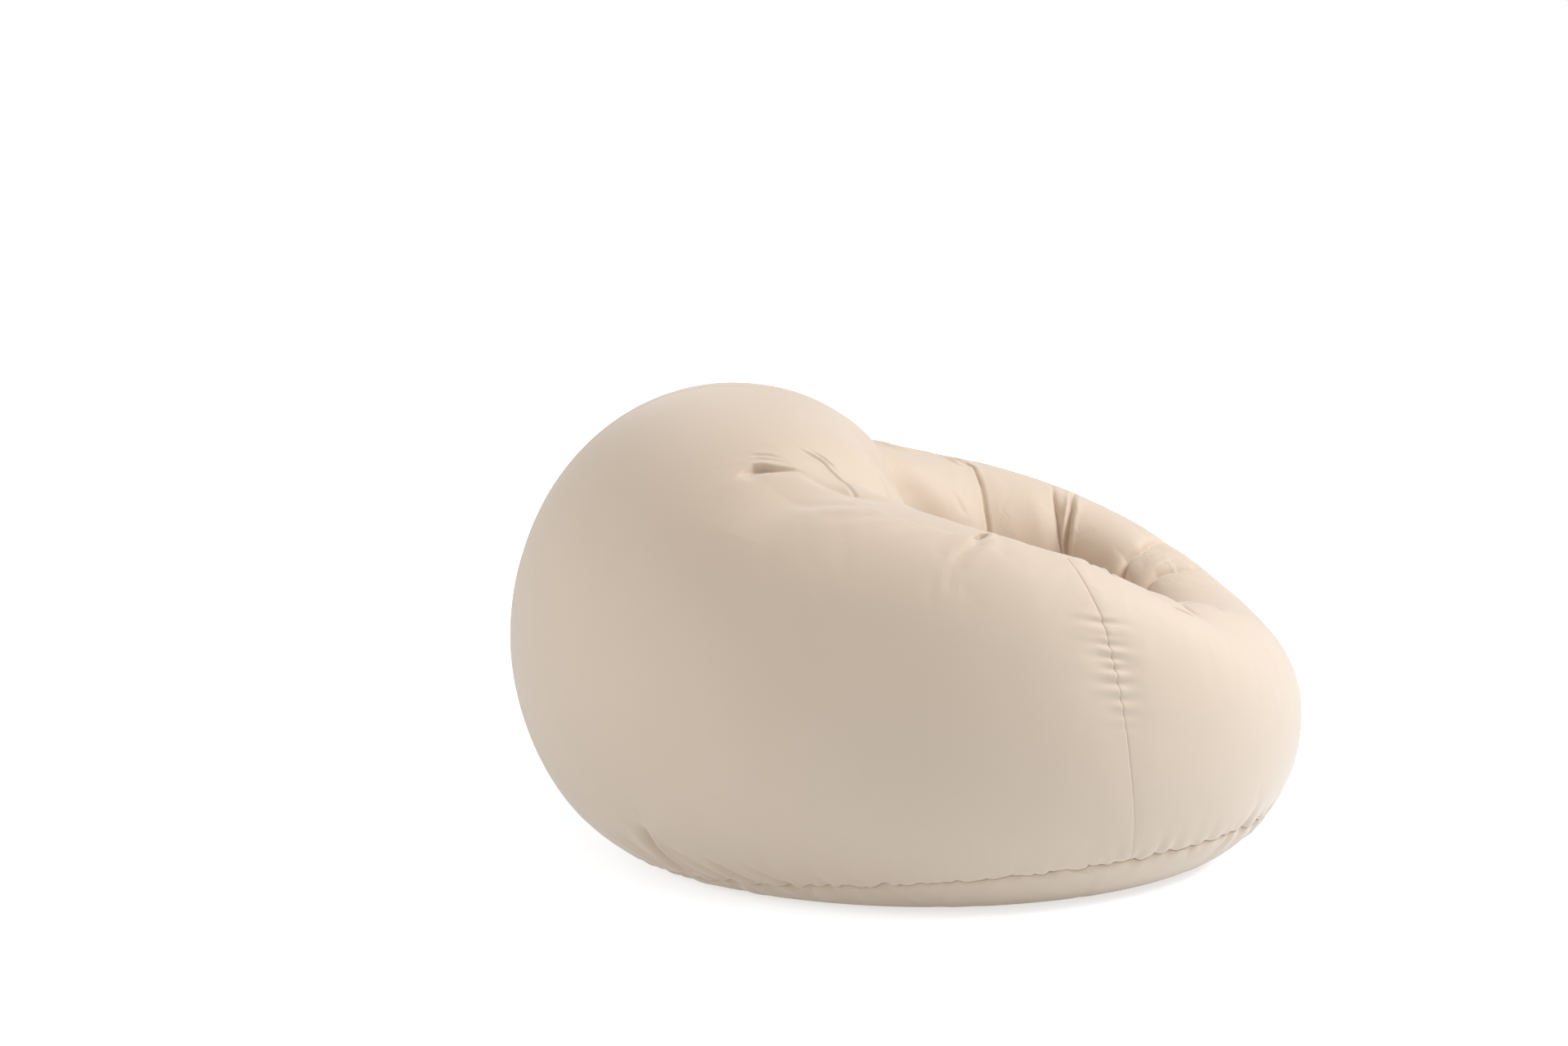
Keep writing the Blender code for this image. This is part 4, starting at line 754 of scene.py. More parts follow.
@dataclass
class Cloth:
    """The dressed surface of the cover, as one function of line and arc.

    It is the tube with its darts, seams, gathers and folds. Each seam has a depth and a width. Gathers have
    a mean pitch, half width, depth, and reach above and below the base seam. Each pucker of the side seam
    has its arc, half width and depth.
    """

    relief: Relief | None = None
    tube: Tube = field(default_factory=Tube)
    side_seam: float = 120.0
    seam_arcs: tuple[float, ...] = (0.0, 0.55, 0.9, 1.27, 1.55, 1.76, 1.94, 2.12, 2.48, 2.7, 3.1, 5.0)
    near_seam: tuple[float, ...] = (
        120, 120, 119.2, 119.5, 119.0, 117.5, 116.2, 116.4, 118.5, 119.5, 120, 120)
    far_seam: tuple[float, ...] = (120, 120, 120, 120.2, 120.8, 121.6, 122.2, 121.8, 119.5, 117.9, 119.5, 120)
    seams: tuple[tuple[float, float], ...] = ((0.0011, 0.0016), (0.0012, 0.0016), (0.0046, 0.0034))
    seam_blur: float = 0.22
    base_gather: tuple[float, ...] = (0.034, 0.0052, 0.004, 0.022, 0.016)
    band_fold: tuple[float, ...] = (0.052, 0.0085, 0.0036, 0.01, 0.06)
    band_tilt: float = 3.0
    puckers: Triples = (
        (1.505, 0.0038, 0.0028), (1.44, 0.004, 0.002), (1.4, 0.0058, 0.005), (1.345, 0.0062, 0.0062),
        (1.3, 0.0058, 0.006), (1.243, 0.0066, 0.0056), (1.18, 0.0066, 0.0044), (1.12, 0.0066, 0.003),
        (1.07, 0.0062, 0.0018))
    pucker_reach: tuple[float, float] = (0.029, 0.034)
    pucker_range: tuple[float, float] = (0.8, 1.25)
    pucker_tilt: float = 0.06
    floor_fade: float = 0.1
    creases: tuple[Crease, ...] = CREASES
    side_gathers: Gathers = field(init=False)
    base_gathers: Gathers = field(init=False)
    band_folds: Gathers = field(init=False)
    fine_line: Array = field(init=False)
    fine_arc: Array = field(init=False)
    base_run: Array = field(init=False)
    side_run: Array = field(init=False)
    seam_places: Array = field(init=False)
    seam_lines: list[Array] = field(init=False)

    def __post_init__(self) -> None:
        """Draw the gathers once, from one seeded generator."""
        draw = np.random.default_rng(SEED)
        self.fine_line = np.linspace(-math.pi, math.pi, 721)
        per_line, _ = self.tube.scales(self.fine_line, self.tube.base_seam(self.fine_line))
        self.base_run = np.cumsum(per_line * np.gradient(self.fine_line))
        self.fine_arc = np.linspace(0, 5, 501)
        seam = np.full_like(self.fine_arc, math.radians(self.side_seam))
        _, per_arc = self.tube.scales(seam, self.fine_arc)
        self.side_run = np.cumsum(per_arc) * (self.fine_arc[1] - self.fine_arc[0])
        self.base_gathers = Gathers.scattered(0, self.base_run[-1], *self.base_gather, draw)
        self.band_folds = Gathers.scattered(0, self.base_run[-1], *self.band_fold, draw)
        self.band_folds.tilts *= self.band_tilt
        arcs, widths, depths = np.array(self.puckers).T
        above, below = (reach * draw.uniform(*self.pucker_range, arcs.size) for reach in self.pucker_reach)
        places = np.interp(arcs, self.fine_arc, self.side_run)
        tilts = draw.uniform(-self.pucker_tilt, self.pucker_tilt, arcs.size)
        self.side_gathers = Gathers(places, widths, depths, above, below, tilts)
        self.seam_places = np.linspace(0, 5, 1001)
        self.seam_lines = [self.smoothed(lines) for lines in (self.near_seam, self.far_seam)]

    def smoothed(self, lines: tuple[float, ...]) -> Array:
        """Side seam's lines in radians at its even places, straight between its stations and then blurred."""
        weights = bell(np.linspace(-0.5, 0.5, 41), self.seam_blur)
        weights /= weights.sum()
        straight = np.interp(self.seam_places, self.seam_arcs, lines)
        padded = np.pad(straight, len(weights) // 2, mode="edge")
        return np.radians(np.convolve(padded, weights, "valid"))

    def seam_line(self, arc: Array, side: float | Array) -> Array:
        """Line of the side seam in radians, on the half that the sign of the side names."""
        near, far = (np.interp(arc, self.seam_places, lines) for lines in self.seam_lines)
        return np.where(np.asarray(side) > 0, near, far)

    def push(self, line: Array, arc: Array) -> Array:
        """Metres that seams, gathers and folds move each point along the outward normal."""
        tube = self.tube
        wrapped = np.arctan2(np.sin(line), np.cos(line))
        per_line, per_arc = tube.scales(line, arc)
        total = np.zeros_like(line)
        side_distance = (np.abs(wrapped) - self.seam_line(arc, wrapped)) * per_line
        total += self.side_gathers.push(np.interp(arc, self.fine_arc, self.side_run), side_distance)
        base_distance = (arc - tube.base_seam(line)) * per_arc
        base_along = np.interp(wrapped, self.fine_line, self.base_run)
        total += self.base_gathers.push(base_along, base_distance)
        total += self.band_folds.push(base_along, base_distance)
        distances = (side_distance, np.abs(wrapped) * per_line, base_distance)
        for distance, (depth, width) in zip(distances, self.seams):
            total -= depth * np.exp(-np.abs(distance) / width)
        for crease in self.creases:
            total += crease.push(wrapped, arc, per_line, per_arc)
        if self.relief is not None:
            total += self.relief.at(wrapped, arc)
        return total

    def surface(self, line: Array, arc: Array) -> Array:
        """Points of the dressed cloth, its moves fading out towards the floor."""
        out = self.push(line, arc)
        out = np.where(arc < 1, out * np.clip(arc / self.floor_fade, 0, 1), out)
        points = self.tube.plain(line, arc) + self.tube.normals(line, arc) * out[..., None]
        points[..., 2] = np.maximum(points[..., 2], 0.0)
        return points


@dataclass(frozen=True)
class Inflation:
    """Cloth simulation of the cover under air pressure, held at its seams and darts.

    The cover is cut a little larger than the tube, so the cloth settles into shallow waves between the
    places that hold it. The waves are kept and the broad swelling is left out. Seams hold by a bell of the
    distance to them, and a dart holds wholly where it is as deep as held_depth.
    """

    columns: int = 264
    rows: int = 118
    top: float = 3.7
    pressure: float = 4.0
    excess: float = 0.012
    frames: int = 20
    blur: int = 5
    cap: float = 0.0014
    gain: float = 0.32
    held_depth: float = 0.005
    hem_reach: float = 0.01
    seam_reach: float = 0.008
    seam_hold: float = 0.9
    hold_steps: int = 10
    quality: int = 5
    bending: float = 0.08
    damping: float = 4.0

    def run(self, cloth: Cloth) -> Relief:
        """Simulate the whole wall as one closed ring of cloth.

        Args:
            cloth: The dressed surface to start from.

        Returns:
            The waves, as moves along the normal.
        """
        line, arc = np.meshgrid(turns(self.columns, -math.pi), np.linspace(0, self.top, self.rows))
        start = cloth.surface(line, arc)
        faces = MeshMaker.quads(self.rows, self.columns, wraps=True)
        piece = MeshMaker.mesh("inflated_wall", start.reshape(-1, 3), faces)
        self.pin(piece, self.hold(cloth, line, arc))
        end = self.settle(piece).reshape(start.shape)
        bpy.data.objects.remove(piece)
        out = np.einsum("ijk,ijk->ij", end - start, grid_normals(start, wraps=True))
        waves = out - self.softened(out)
        log.info("simulation: largest move %.4f, mean wave %.5f, largest wave %.4f",
                 np.abs(out).max(), np.abs(waves).mean(), np.abs(waves).max())
        return Relief(self.cap * np.tanh(self.gain * waves / self.cap), self.top)

    def hold(self, cloth: Cloth, line: Array, arc: Array) -> Array:
        """How firmly each point is held, from 0 to 1: wholly at seams, darts and beyond the wall's ends."""
        tube = cloth.tube
        per_line, per_arc = tube.scales(line, arc)
        base = bell(np.maximum((arc - tube.base_seam(line)) * per_arc, 0), self.hem_reach)
        seat = bell(np.maximum((tube.seat_seam(line) - arc) * per_arc, 0), self.hem_reach)
        side_distance = (np.abs(line) - cloth.seam_line(arc, line)) * per_line
        side = self.seam_hold * bell(side_distance, self.seam_reach)
        middle = self.seam_hold * bell(line * per_line, self.seam_reach)
        darts = np.abs(np.minimum(cloth.push(line, arc), 0)) / self.held_depth
        return np.clip(np.max([base, seat, side, middle, darts], axis=0), 0, 1)

    def pin(self, piece: Object, firm: Array) -> None:
        """Write how firmly the points are held into a vertex group, in even steps."""
        group = piece.vertex_groups.new(name="held")
        steps = np.round(firm.ravel() * self.hold_steps).astype(int)
        for step in range(1, self.hold_steps + 1):
            chosen = np.flatnonzero(steps == step).tolist()
            if chosen:
                group.add(chosen, step / self.hold_steps, "REPLACE")

    def settle(self, piece: Object) -> Array:
        """Run the simulation and read the settled points."""
        modifier = piece.modifiers.new("air", "CLOTH")
        settings = modifier.settings
        settings.quality = self.quality
        settings.use_pressure = True
        settings.uniform_pressure_force = self.pressure
        settings.vertex_group_mass = "held"
        settings.shrink_min = -self.excess
        settings.bending_stiffness = self.bending
        settings.air_damping = self.damping
        settings.effector_weights.gravity = 0.0
        modifier.collision_settings.use_collision = False
        scene = bpy.context.scene
        before = scene.frame_current
        for number in range(1, self.frames + 1):
            scene.frame_set(number)
        made = piece.evaluated_get(bpy.context.evaluated_depsgraph_get()).data
        points = np.empty(len(made.vertices) * 3, dtype=np.float32)
        made.vertices.foreach_get("co", points)
        scene.frame_set(before)
        return points.astype(float)

    def softened(self, values: Array) -> Array:
        """The values blurred by a bell of some cells, wrapping round the columns."""
        reach = 3 * self.blur
        weights = bell(np.arange(-reach, reach + 1), self.blur * 1.4)
        weights /= weights.sum()
        for axis, mode in ((0, "edge"), (1, "wrap")):
            width = [(0, 0), (0, 0)]
            width[axis] = (reach, reach)
            padded = np.pad(values, width, mode=mode)
            values = np.apply_along_axis(np.convolve, axis, padded, weights, "valid")
        return values


@dataclass(frozen=True)
class Port:
    """The opening for the ring's valve, low on the back, and where the valve stands in it."""

    line: float = math.radians(-13.0)
    arc: float = 0.52
    place: tuple[float, float, float] = (0.113906, 0.535146, 0.11362)
    axis: tuple[float, float, float] = (0.20646, 0.811039, -0.547348)
    radius: float = 0.026
    near: float = 0.08
    patch_reach: float = 0.034
    patch_inset: float = 0.0004
    patch_lift: float = 0.0003
    patch_thickness: float = 0.0008
    patch_rings: int = 12
    patch_steps: int = 168
    stitch_rows: tuple[float, ...] = (0.0282, 0.0322)
    stitch_count: int = 62
    stitch_half: float = 0.34
    stitch_rise: float = 0.00034
    stitch_sink: float = 0.00008
    thread: float = 0.00028

    def opened(self, points: Array) -> tuple[Array, Array]:
        """Open the port in a grid of points.

        Points inside the port's circle are drawn out onto it, and cells with no corner outside are dropped.

        Args:
            points: Rows by columns by three.

        Returns:
            The points, and for each cell whether it stays.
        """
        offset = points - np.array(self.place)
        axis = np.array(self.axis)
        flat = offset - (offset @ axis)[..., None] * axis
        reach = np.linalg.norm(flat, axis=-1)
        inside = (reach < self.radius) & (np.linalg.norm(offset, axis=-1) < self.near)
        grown = flat / np.maximum(reach, 1e-6)[..., None] * (self.radius - reach)[..., None]
        keep = ~(inside[:-1, :-1] & inside[:-1, 1:] & inside[1:, 1:] & inside[1:, :-1])
        return np.where(inside[..., None], points + grown, points), keep

    def round_places(self, cloth: "Cloth", reach: Array, turn: Array) -> tuple[Array, Array]:
        """Lines and arcs of places round the port, by distance and direction on the cloth.

        The two directions of the cloth at the port are taken as straight, which holds over a hand's width.
        """
        tube = cloth.tube
        line, arc = np.array([self.line]), np.array([self.arc])
        along, up = (step[0] / (2 * tube.probe) for step in tube.differences(line, arc))
        first = along / np.linalg.norm(along)
        second = np.cross(np.cross(first, up), first)
        second /= np.linalg.norm(second)
        plane = np.array([[along @ first, up @ first], [along @ second, up @ second]])
        round_it = np.stack([(reach * np.cos(turn)).ravel(), (reach * np.sin(turn)).ravel()])
        shift = np.linalg.inv(plane) @ round_it
        start = np.array(self.place) - cloth.surface(line, arc)[0]
        base = np.linalg.inv(plane) @ np.array([start @ first, start @ second])
        lines, arcs = self.line + base[0] + shift[0], self.arc + base[1] + shift[1]
        return lines.reshape(reach.shape), arcs.reshape(reach.shape)

    def patch(self, cloth: "Cloth") -> Object:
        """Make the patch: a flat ring of cloth that lies round the port, with two rows of stitches.

        Its section is a closed loop: out over the top, down the rim and back underneath.
        """
        low, high = self.radius - self.patch_inset, self.patch_reach
        edge = self.patch_thickness / 2
        across = np.linspace(low + edge, high - edge, self.patch_rings)
        bow = np.linspace(-math.pi / 2, math.pi / 2, 5)
        reach = np.concatenate([across, high - edge + edge * np.cos(bow[::-1]), across[::-1],
                                low + edge - edge * np.cos(bow)])
        lift = np.concatenate([np.full(across.size, 2 * edge), edge + edge * np.sin(bow[::-1]),
                               np.zeros(across.size), edge + edge * np.sin(bow)])
        reaches, directions = np.meshgrid(reach, turns(self.patch_steps), indexing="ij")
        lines, arcs = self.round_places(cloth, reaches, directions)
        points = cloth.surface(lines, arcs)
        normals = cloth.tube.normals(lines, arcs)
        shape = Shape()
        shape.rings(points + normals * (lift + self.patch_lift)[:, None, None], wraps=True)
        for row in self.stitch_rows:
            self.stitch(shape, cloth, row)
        return shape.build("textile_port_patch", plane=True)

    def stitch(self, shape: "Shape", cloth: "Cloth", row: float) -> None:
        """Add one round of stitches: short threads that rise out of the patch and go back in."""
        share = np.linspace(-self.stitch_half, self.stitch_half, 5)
        bow = self.stitch_rise * np.cos(share / self.stitch_half * math.pi / 2)
        rise = self.patch_lift + self.patch_thickness + bow - self.stitch_sink
        for number in range(self.stitch_count):
            turn = (number + share) * 2 * math.pi / self.stitch_count
            lines, arcs = self.round_places(cloth, np.full_like(turn, row), turn)
            normals = cloth.tube.normals(lines, arcs)
            path = cloth.surface(lines, arcs) + normals * rise[:, None]
            shape.sweep(path, Shape.circle(self.thread, 6), normals[2])


class Panel(Enum):
    """The wall panels of the cover, with the node that each stands for."""

    RIGHT = "textile_side_right"
    LEFT = "textile_side_left"
    FRONT = "textile_front"


@dataclass
class Cover:
    """The sewn cover: two side panels, the front, the seat and the two halves of the base."""

    cloth: Cloth = field(default_factory=Cloth)
    port: Port = field(default_factory=Port)
    thickness: float = 0.001
    turn_in: float = 0.004
    half_gap: float = 0.0003
    rows: int = 324
    side_columns: int = 300
    front_columns: int = 272
    dense_lines: Triples = (
        (47.0, 2.8, 3.5), (42.0, 3.0, 1.5), (54.0, 6.0, 1.5), (96.5, 2.5, 5.0), (86.0, 4.0, 1.0),
        (120.0, 1.2, 3.0), (124.5, 4.0, 3.0), (138.0, 5.0, 1.2), (148.0, 3.5, 3.0), (158.0, 4.0, 3.0))
    dense_rows: Triples = (
        (0.0, 0.03, 3.0), (0.31, 0.09, 0.8), (0.53, 0.11, 2.6))
    edge_share: float = 0.0005
    seat_rings: int = 60
    seat_columns: int = 360
    seat_middle: float = 0.002
    seat_wave: float = 0.0007
    seat_wave_reach: float = 0.03
    seat_dip: float = 0.004
    roll_rows: int = 30
    base_columns: int = 260
    base_steps: tuple[int, ...] = (10, 4, 4, 4, 24)
    base_height: float = 0.012
    ramp_share: float = 0.55
    lift_share: float = 0.88
    slot_half: float = 0.007
    slot_centre: float = -0.0425
    slot_reach: float = 0.22
    slot_fade: float = 0.004

    def lines(self, panel: Panel) -> Array:
        """Lines of a panel's columns, closer together at its darts and edges."""
        seam = math.radians(self.cloth.side_seam)
        edge = self.cloth.side_seam
        if panel is Panel.FRONT:
            span = 360 - 2 * edge
            marks = [
                ((angle - edge) / span, width / span, extra)
                for angle, width, extra in self.dense_lines if angle >= edge]
            marks += [(1 - place, width, extra) for place, width, extra in marks]
            shares = self.supported(even_shares(self.front_columns, tuple(marks)))
            return seam + (2 * math.pi - 2 * seam) * shares
        marks = [
            (angle / edge, width / edge, extra)
            for angle, width, extra in self.dense_lines if angle <= edge]
        shares = self.supported(even_shares(self.side_columns, tuple(marks)))
        return seam * shares if panel is Panel.RIGHT else -seam * shares[::-1]

    def supported(self, shares: Array) -> Array:
        """Shares with one more close to each end, so that the shading stays flat up to the seam."""
        return np.concatenate([[0.0, self.edge_share], shares[1:-1], [1 - self.edge_share, 1.0]])

    def grid(self, panel: Panel) -> tuple[Array, Array]:
        """Line and arc of every point of a panel, from the base seam up over the crest to the seat seam."""
        lines = self.lines(panel)
        start = self.cloth.tube.base_seam(lines)
        end = self.cloth.tube.seat_seam(lines)
        shares = self.supported(even_shares(self.rows, self.dense_rows))
        arcs = start[None] + (end - start)[None] * shares[:, None]
        seam = math.radians(self.cloth.side_seam)
        near = self.cloth.seam_line(arcs, 1)
        far = self.cloth.seam_line(arcs, -1)
        if panel is Panel.RIGHT:
            return lines * near / seam, arcs
        if panel is Panel.LEFT:
            return lines * far / seam, arcs
        share = (lines - seam) / (2 * math.pi - 2 * seam)
        return near + (2 * math.pi - far - near) * share, arcs

    def edged(self, points: Array, normal: Array) -> tuple[Array, Array]:
        """Add the seam allowance: rows and columns that turn the edges of a panel inwards.

        Each edge moves back from the seam by half the gap, then goes straight in against the normal.
        """
        for axis in (0, 1):
            edges, edge_normals = [], []
            for end, near in ((0, 1), (-1, -2)):
                edge = np.take(points, [end], axis=axis)
                inward = np.take(points, [near], axis=axis) - edge
                inward /= np.maximum(np.linalg.norm(inward, axis=-1, keepdims=True), 1e-9)
                edges.append(edge + inward * self.half_gap - np.take(normal, [end], axis=axis) * self.turn_in)
                edge_normals.append(-inward)
            points = np.concatenate([edges[0], points, edges[1]], axis=axis)
            normal = np.concatenate([edge_normals[0], normal, edge_normals[1]], axis=axis)
        return points, normal

    def plane(self, points: Array) -> Array:
        """Flat cloth coordinates in metres: run along each row from the middle column, and up the middle."""
        along = np.linalg.norm(np.diff(points, axis=1), axis=-1)
        run = np.concatenate([np.zeros((points.shape[0], 1)), np.cumsum(along, axis=1)], axis=1)
        middle = points.shape[1] // 2
        run = run - run[:, middle:middle + 1]
        rise = np.linalg.norm(np.diff(points[:, middle], axis=0), axis=-1)
        climb = np.concatenate([[0], np.cumsum(rise)])
        return np.stack([run, np.broadcast_to(climb[:, None], run.shape)], axis=-1)

    def wall(self, panel: Panel) -> Object:
        """Make one wall panel."""
        points = self.cloth.surface(*self.grid(panel))
        points, normal = self.edged(points, grid_normals(points))
        keep = None
        if panel is Panel.LEFT:
            points, keep = self.port.opened(points)
        inner = points - normal * self.thickness
        return MeshMaker.shell(panel.value, points, inner, self.plane(points), keep)

    def seat(self) -> Object:
        """Make the seat panel: rings that shrink to a small middle patch and rise to the crown.

        Height follows one less the square of the share, and small gathers fade in from the seam.
        """
        tube = self.cloth.tube
        lines = turns(self.seat_columns, -math.pi)
        outline = self.cloth.surface(lines, tube.seat_seam(lines))
        middle = np.array((0, (outline[:, 1].max() + outline[:, 1].min()) / 2, tube.seat_height))
        rim = 1 - 2 * self.half_gap / tube.lip.half_width
        shares = (rim * even_shares(self.seat_rings, ((1.0, 0.1, 2.0),))[::-1] + self.seat_middle)[:, None]
        points = middle + (outline - middle)[None] * shares[..., None]
        draw = np.random.default_rng(SEED + 1)
        waves = sum(
            draw.uniform(0.4, 1.0) * np.cos(order * lines + draw.uniform(0, 2 * math.pi))
            for order in range(31, 58, 3))[None]
        reach = (1 - shares) * tube.lip.half_width
        points[..., 2] = tube.seat_height + tube.seat_crown * (1 - shares ** 2)
        points[..., 2] += (self.seat_wave * waves * np.exp(-reach / self.seat_wave_reach)
                           - self.seat_dip * np.exp(-reach / self.seat_dip))
        under = points[:1] * 1.0
        under[..., 2] -= self.turn_in
        points = np.concatenate([under, points])
        inner = points - np.array((0, 0, self.thickness))
        rows, columns = points.shape[:2]
        count = rows * columns
        sheet = MeshMaker.quads(rows, columns, wraps=True)
        rim_points = np.arange(columns)
        after = np.roll(rim_points, -1)
        walls = np.stack([after, rim_points, rim_points + count, after + count], axis=-1)
        faces = np.concatenate([sheet, sheet[:, ::-1] + count, walls])
        both = np.concatenate([points.reshape(-1, 3), inner.reshape(-1, 3)])
        piece = MeshMaker.mesh("textile_seat", both, faces, both[:, :2])
        last = count - columns + rim_points
        MeshMaker.close(piece, [last, (last + count)[::-1]])
        return piece

    def base(self, side: int) -> Object:
        """Make one half of the base: rolled up to the base seam, flat on the floor, lifted at the zip."""
        tube = self.cloth.tube
        lines = np.linspace(0, math.pi, self.base_columns)
        lines = lines if side > 0 else -lines[::-1]
        seam = tube.base_seam(lines)
        shares = even_shares(self.roll_rows, ((0.0, 0.1, 3.0),))[:, None]
        rolled = self.cloth.surface(np.broadcast_to(lines, (self.roll_rows, lines.size)), seam * (1 - shares))
        rolled[-1, :, 2] = 0.0
        outlines = [tube.plain(lines, np.full_like(lines, arc)) for arc in (5, 4)]
        outlines.append(self.lifted(lines, 1.0, 0.0))
        outlines.append(self.lifted(lines, (1 + self.lift_share) / 2, self.base_height * self.ramp_share))
        outlines.append(self.lifted(lines, self.lift_share, self.base_height))
        outlines.append(self.spine(lines, side))
        rows = [rolled]
        for start, end, steps in zip(outlines, outlines[1:], self.base_steps):
            blend = (np.arange(steps) + 1)[:, None, None] / steps
            rows.append(start + (end - start) * blend)
        points = np.concatenate(rows)
        points[..., 0] = -side * np.maximum(-side * points[..., 0], self.half_gap)
        points = points[::-1]
        normal = grid_normals(points)
        edge = points[-1:] - normal[-1:] * self.turn_in
        points = np.concatenate([points, edge])
        normal = np.concatenate([normal, normal[-1:]])
        name = "textile_base_right" if side > 0 else "textile_base_left"
        return MeshMaker.shell(name, points, points - normal * self.thickness, self.plane(points))

    def lifted(self, lines: Array, share: float, height: float) -> Array:
        """Points of the lifted middle's outline at a share of its size."""
        points = self.cloth.tube.lift.points(lines, share)
        points[..., 2] = height
        return points

    def spine(self, lines: Array, side: int) -> Array:
        """Inner edge of a base half: along the middle, and round the zip's slot."""
        lift = self.cloth.tube.lift
        centre = (lift.front - lift.back) / 2
        y = (lift.front + lift.back) / 2 * self.lift_share * np.cos(lines) - centre
        inside = np.clip((self.slot_reach - np.abs(y - self.slot_centre)) / self.slot_fade, 0, 1)
        x = -side * (self.half_gap + (self.slot_half - self.half_gap) * inside)
        return np.stack([x, y, np.full_like(y, self.base_height)], axis=-1)


@dataclass
class Bladders:
    """The two air tubes under the cover, welded from film and hidden but for the valves."""

    cloth: Cloth = field(default_factory=Cloth)
    depth: float = 0.0065
    columns: int = 420
    rows: int = 170
    seat_columns: int = 220
    seat_rows: int = 150
    seat_bottom: float = 0.046
    seat_clearance: float = 0.004
    seat_fit: float = 0.925
    floor_gap: float = 0.002
    dressed_arcs: tuple[float, float] = (0.1, 4.0)
    profile: tuple[tuple[float, float], ...] = (
        (0.02, 0.0), (0.45, 0.0), (0.8, 0.0), (0.9, 0.05), (0.955, 0.17), (0.985, 0.38), (0.99, 0.478),
        (1.016, 0.484), (1.016, 0.492), (0.99, 0.498), (0.985, 0.6), (0.955, 0.74), (0.9, 0.85),
        (0.8, 0.9), (0.6, 0.945), (0.35, 0.98), (0.02, 1.0))
    weld_place: float = 7.5
    weld_reach: float = 1.2

    def seat(self) -> Object:
        """Make the seat's cushion: two skins that meet in a welded rim.

        Its rows are read off a profile of shares of the outline and of the height, from the middle of the
        bottom to the middle of the top. The profile is smoothed, but for the weld.
        """
        tube = self.cloth.tube
        lines = turns(self.seat_columns, -math.pi)
        outline = self.cloth.surface(lines, tube.seat_seam(lines))
        middle = np.array((0, (outline[:, 1].max() + outline[:, 1].min()) / 2, 0))
        top = tube.seat_height + tube.seat_crown - self.seat_clearance
        shares, rises = np.array(self.profile).T
        places = np.linspace(0, len(shares) - 1, self.seat_rows)
        numbers = np.arange(len(shares))
        share = np.interp(places, numbers, shares) * self.seat_fit
        rise = self.seat_bottom + np.interp(places, numbers, rises) * (top - self.seat_bottom)
        soft = np.ones(7) / 7
        for values in (share, rise):
            keep = values.copy()
            values[3:-3] = np.convolve(values, soft, "valid")
            weld = np.abs(places - self.weld_place) < self.weld_reach
            values[weld] = keep[weld]
        points = middle + (outline * np.array((1, 1, 0)) - middle)[None] * share[:, None, None]
        points[..., 2] = rise[:, None]
        shape = Shape()
        shape.rings(points)
        return shape.build("film_seat")

    def ring(self) -> Object:
        """Make the ring's tube: the dressed surface moved in, closed both ways."""
        arcs = np.linspace(0, 5, self.rows + 1)[:-1]
        line, arc = np.meshgrid(turns(self.columns, -math.pi), arcs)
        tube = self.cloth.tube
        dressed = (arc > self.dressed_arcs[0]) & (arc < self.dressed_arcs[1])
        out = np.where(dressed, self.cloth.push(line, arc), 0) - self.depth
        points = tube.plain(line, arc) + tube.normals(line, arc) * out[..., None]
        points[..., 2] = np.maximum(points[..., 2], self.floor_gap)
        faces = MeshMaker.quads(self.rows, self.columns, wraps=True, closes=True)
        return MeshMaker.mesh("film_ring", points.reshape(-1, 3), faces)


